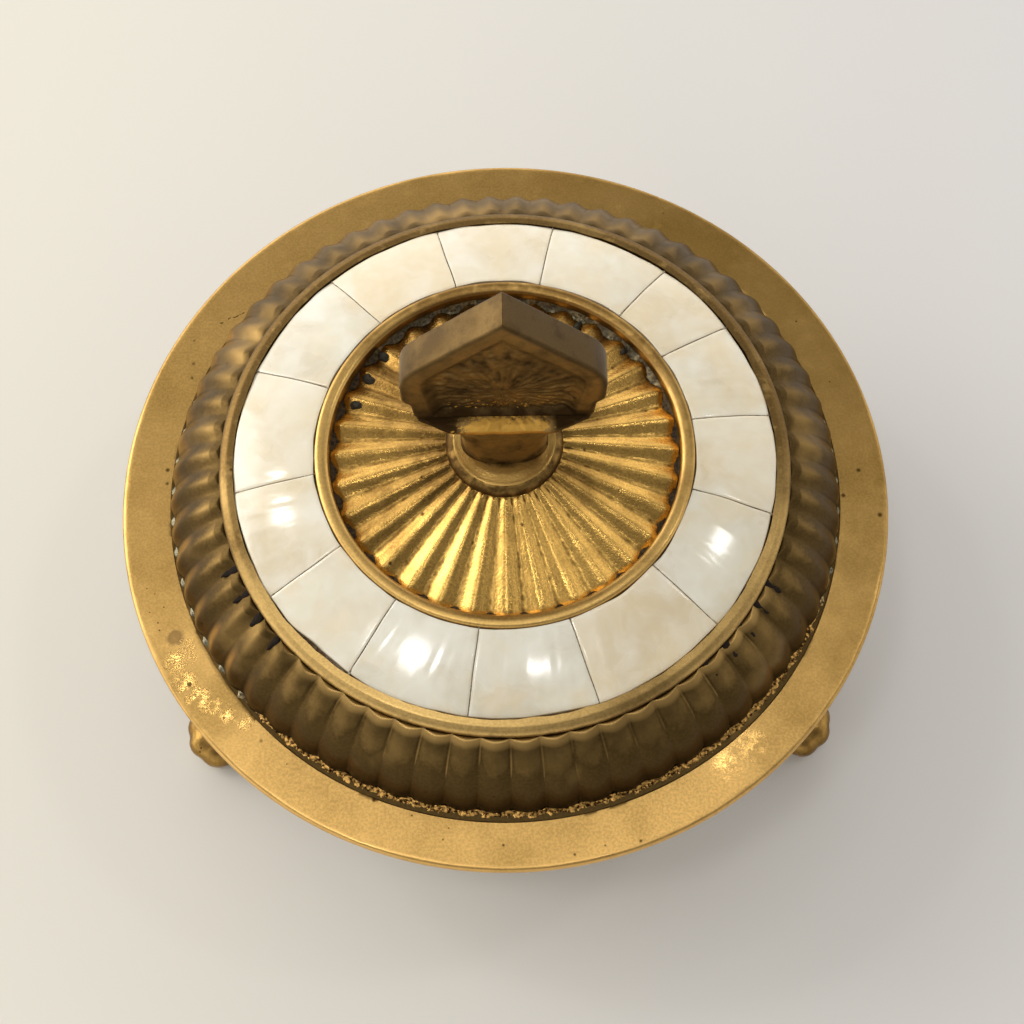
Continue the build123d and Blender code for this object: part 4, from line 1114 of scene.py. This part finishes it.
evaluated = rough_foot.evaluated_get(bpy.context.evaluated_depsgraph_get())
fused = bpy.data.meshes.new_from_object(evaluated)
fused_points = np.empty(len(fused.vertices) * 3)
fused.vertices.foreach_get("co", fused_points)
fused_points = fused_points.reshape(-1, 3)
fused_faces = [list(face.vertices) for face in fused.polygons]
bpy.data.objects.remove(rough_foot)
fused_points += 0.00012 * unevenness(fused_points, 0.0025, 17)[:, None]
fused_points[:, 2] = np.maximum(fused_points[:, 2], 0)
reach = fused_points[:, 0]
wear = 0.20 + 0.35 * smooth_step(0.06, 0.08, reach) + 0.1 * unevenness(fused_points, 0.003, 18)
wear = wear + 0.2 * smooth_step(0.003, 0.006, fused_points[:, 2]) * (reach > 0.066)
for name, azimuth in (("foot_back", 90), ("foot_left", 210), ("foot_right", 330)):
    points = turned(fused_points, np.radians(azimuth)) + (0, axis_y, 0)
    foot = make_piece(
        f"paw_{name}", points, foot_finish, "base", "cast_brass", fused_faces, 60,
        wear=wear, tarnish=0.85,
    )
    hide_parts(name)

# Foot rivets: brass, closed on the bowl's inside, as plain as the plate's back.
refinish(("foot_rivets",), hidden_brass)

# Floor, light and camera: a pale table, the sky of the room with eight soft round lamps whose
# glints show in the brass, and the photograph's view from above.
floor_finish, tree, shader, place = start_finish("pale table", 0.0, 0.85)
# The table's colour is lighter and warmer at the left and greyer at the right: painted light falling
# from the left.
aside = add_node(tree, "ShaderNodeSeparateXYZ", {"Vector": place}).outputs["X"]
colour = blend_colours(tree, remap(tree, aside, -0.12, 0.14), (232, 228, 216), (220, 218, 216))
feed(shader, {"Base Color": colour})
points = ring_points(full_turn(96), np.array((0.9, 0.4, 0.1, 0.001)), -0.00002)
floor_mesh = bpy.data.meshes.new("table")
floor_faces = grid_faces(*points.shape[:2], round_columns=False)
floor_faces.append(list(range(3, 96 * 4, 4)))
floor_mesh.from_pydata(points.reshape(-1, 3).tolist(), [], floor_faces)
floor_mesh.materials.append(floor_finish)
table = bpy.data.objects.new("table", floor_mesh)
bpy.context.scene.collection.objects.link(table)

scene = bpy.context.scene
scene.view_settings.view_transform = "Standard"
world = bpy.data.worlds.new("room")
scene.world = world
world.use_nodes = True
sky = world.node_tree
background = sky.nodes["Background"]
direction = add_node(sky, "ShaderNodeTexCoord").outputs["Generated"]
parts = add_node(sky, "ShaderNodeSeparateXYZ", {"Vector": direction}).outputs
low_light = remap(sky, parts["Z"], 0.45, 0.78, 1.6, 0.32)
depth_light = remap(sky, parts["Y"], -0.7, 0.3, 0.5, 1.1)
crown_light = remap(sky, parts["Z"], 0.86, 0.99, 0.0, 0.3)
left_light = remap(sky, parts["X"], -0.5, 0.5, 1.28, 0.72)
strength = arithmetic(sky, "ADD", arithmetic(sky, "MULTIPLY", low_light, depth_light), crown_light)
sky.links.new(arithmetic(sky, "MULTIPLY", strength, left_light), background.inputs["Strength"])
background.inputs["Color"].default_value = (1.0, 0.97, 0.93, 1)


def softbox(name, towards, distance, size, power, colour=(1, 1, 1)):
    """A round lamp at a distance in a direction from the lid, facing it."""
    lamp = bpy.data.lights.new(name, "AREA")
    lamp.shape = "DISK"
    lamp.size = size
    lamp.energy = power
    lamp.color = colour
    holder = bpy.data.objects.new(name, lamp)
    scene.collection.objects.link(holder)
    aim = Vector(towards).normalized()
    holder.location = Vector((0, axis_y, 0.06)) + aim * distance
    holder.rotation_euler = aim.to_track_quat("Z", "Y").to_euler()


softbox("overhead", (0.0, 0.17, 0.985), 1.2, 0.6, 0.35)
softbox("window", (-0.85, 0.35, 0.55), 1.4, 0.8, 5.0, (1, 0.98, 0.95))
softbox("left spark", (-0.546, 0.277, 0.813), 1.5, 0.14, 0.9)
softbox("front spark", (-0.26, -0.129, 0.9695), 1.5, 0.18, 1.4)
softbox("streak spark", (0.092, -0.163, 0.994), 1.5, 0.08, 0.45)
softbox("right spark", (0.519, 0.167, 0.857), 1.5, 0.14, 0.9)
softbox("left edge spark", (-0.238, 0.238, 0.938), 1.5, 0.08, 0.22)
softbox("right edge spark", (0.173, 0.187, 0.959), 1.5, 0.10, 0.18)

sensor_width, photo_width, focal_length = 36, 1024, 1500
view_distance = 3.934 * flange_radius
camera_data = bpy.data.cameras.new("view")
camera_data.sensor_width = sensor_width
camera_data.sensor_fit = "HORIZONTAL"
camera_data.lens = focal_length / photo_width * sensor_width
camera_data.clip_start = 0.01
camera = bpy.data.objects.new("view", camera_data)
scene.collection.objects.link(camera)
elevation, roll, pan, tilt = np.radians((66.469, 1.032, 0.239, 1.039))
right = Vector((1, 0, 0))
back = Vector((0, -np.cos(elevation), np.sin(elevation)))
level_view = Matrix((right, back.cross(right), back))
turns = Matrix.Rotation(roll, 3, "Z") @ Matrix.Rotation(tilt, 3, "X") @ Matrix.Rotation(pan, 3, "Y")
placing = (turns @ level_view).transposed().to_4x4()
placing.translation = Vector((0, axis_y, flange_top)) + back * view_distance
camera.matrix_world = placing
scene.camera = camera
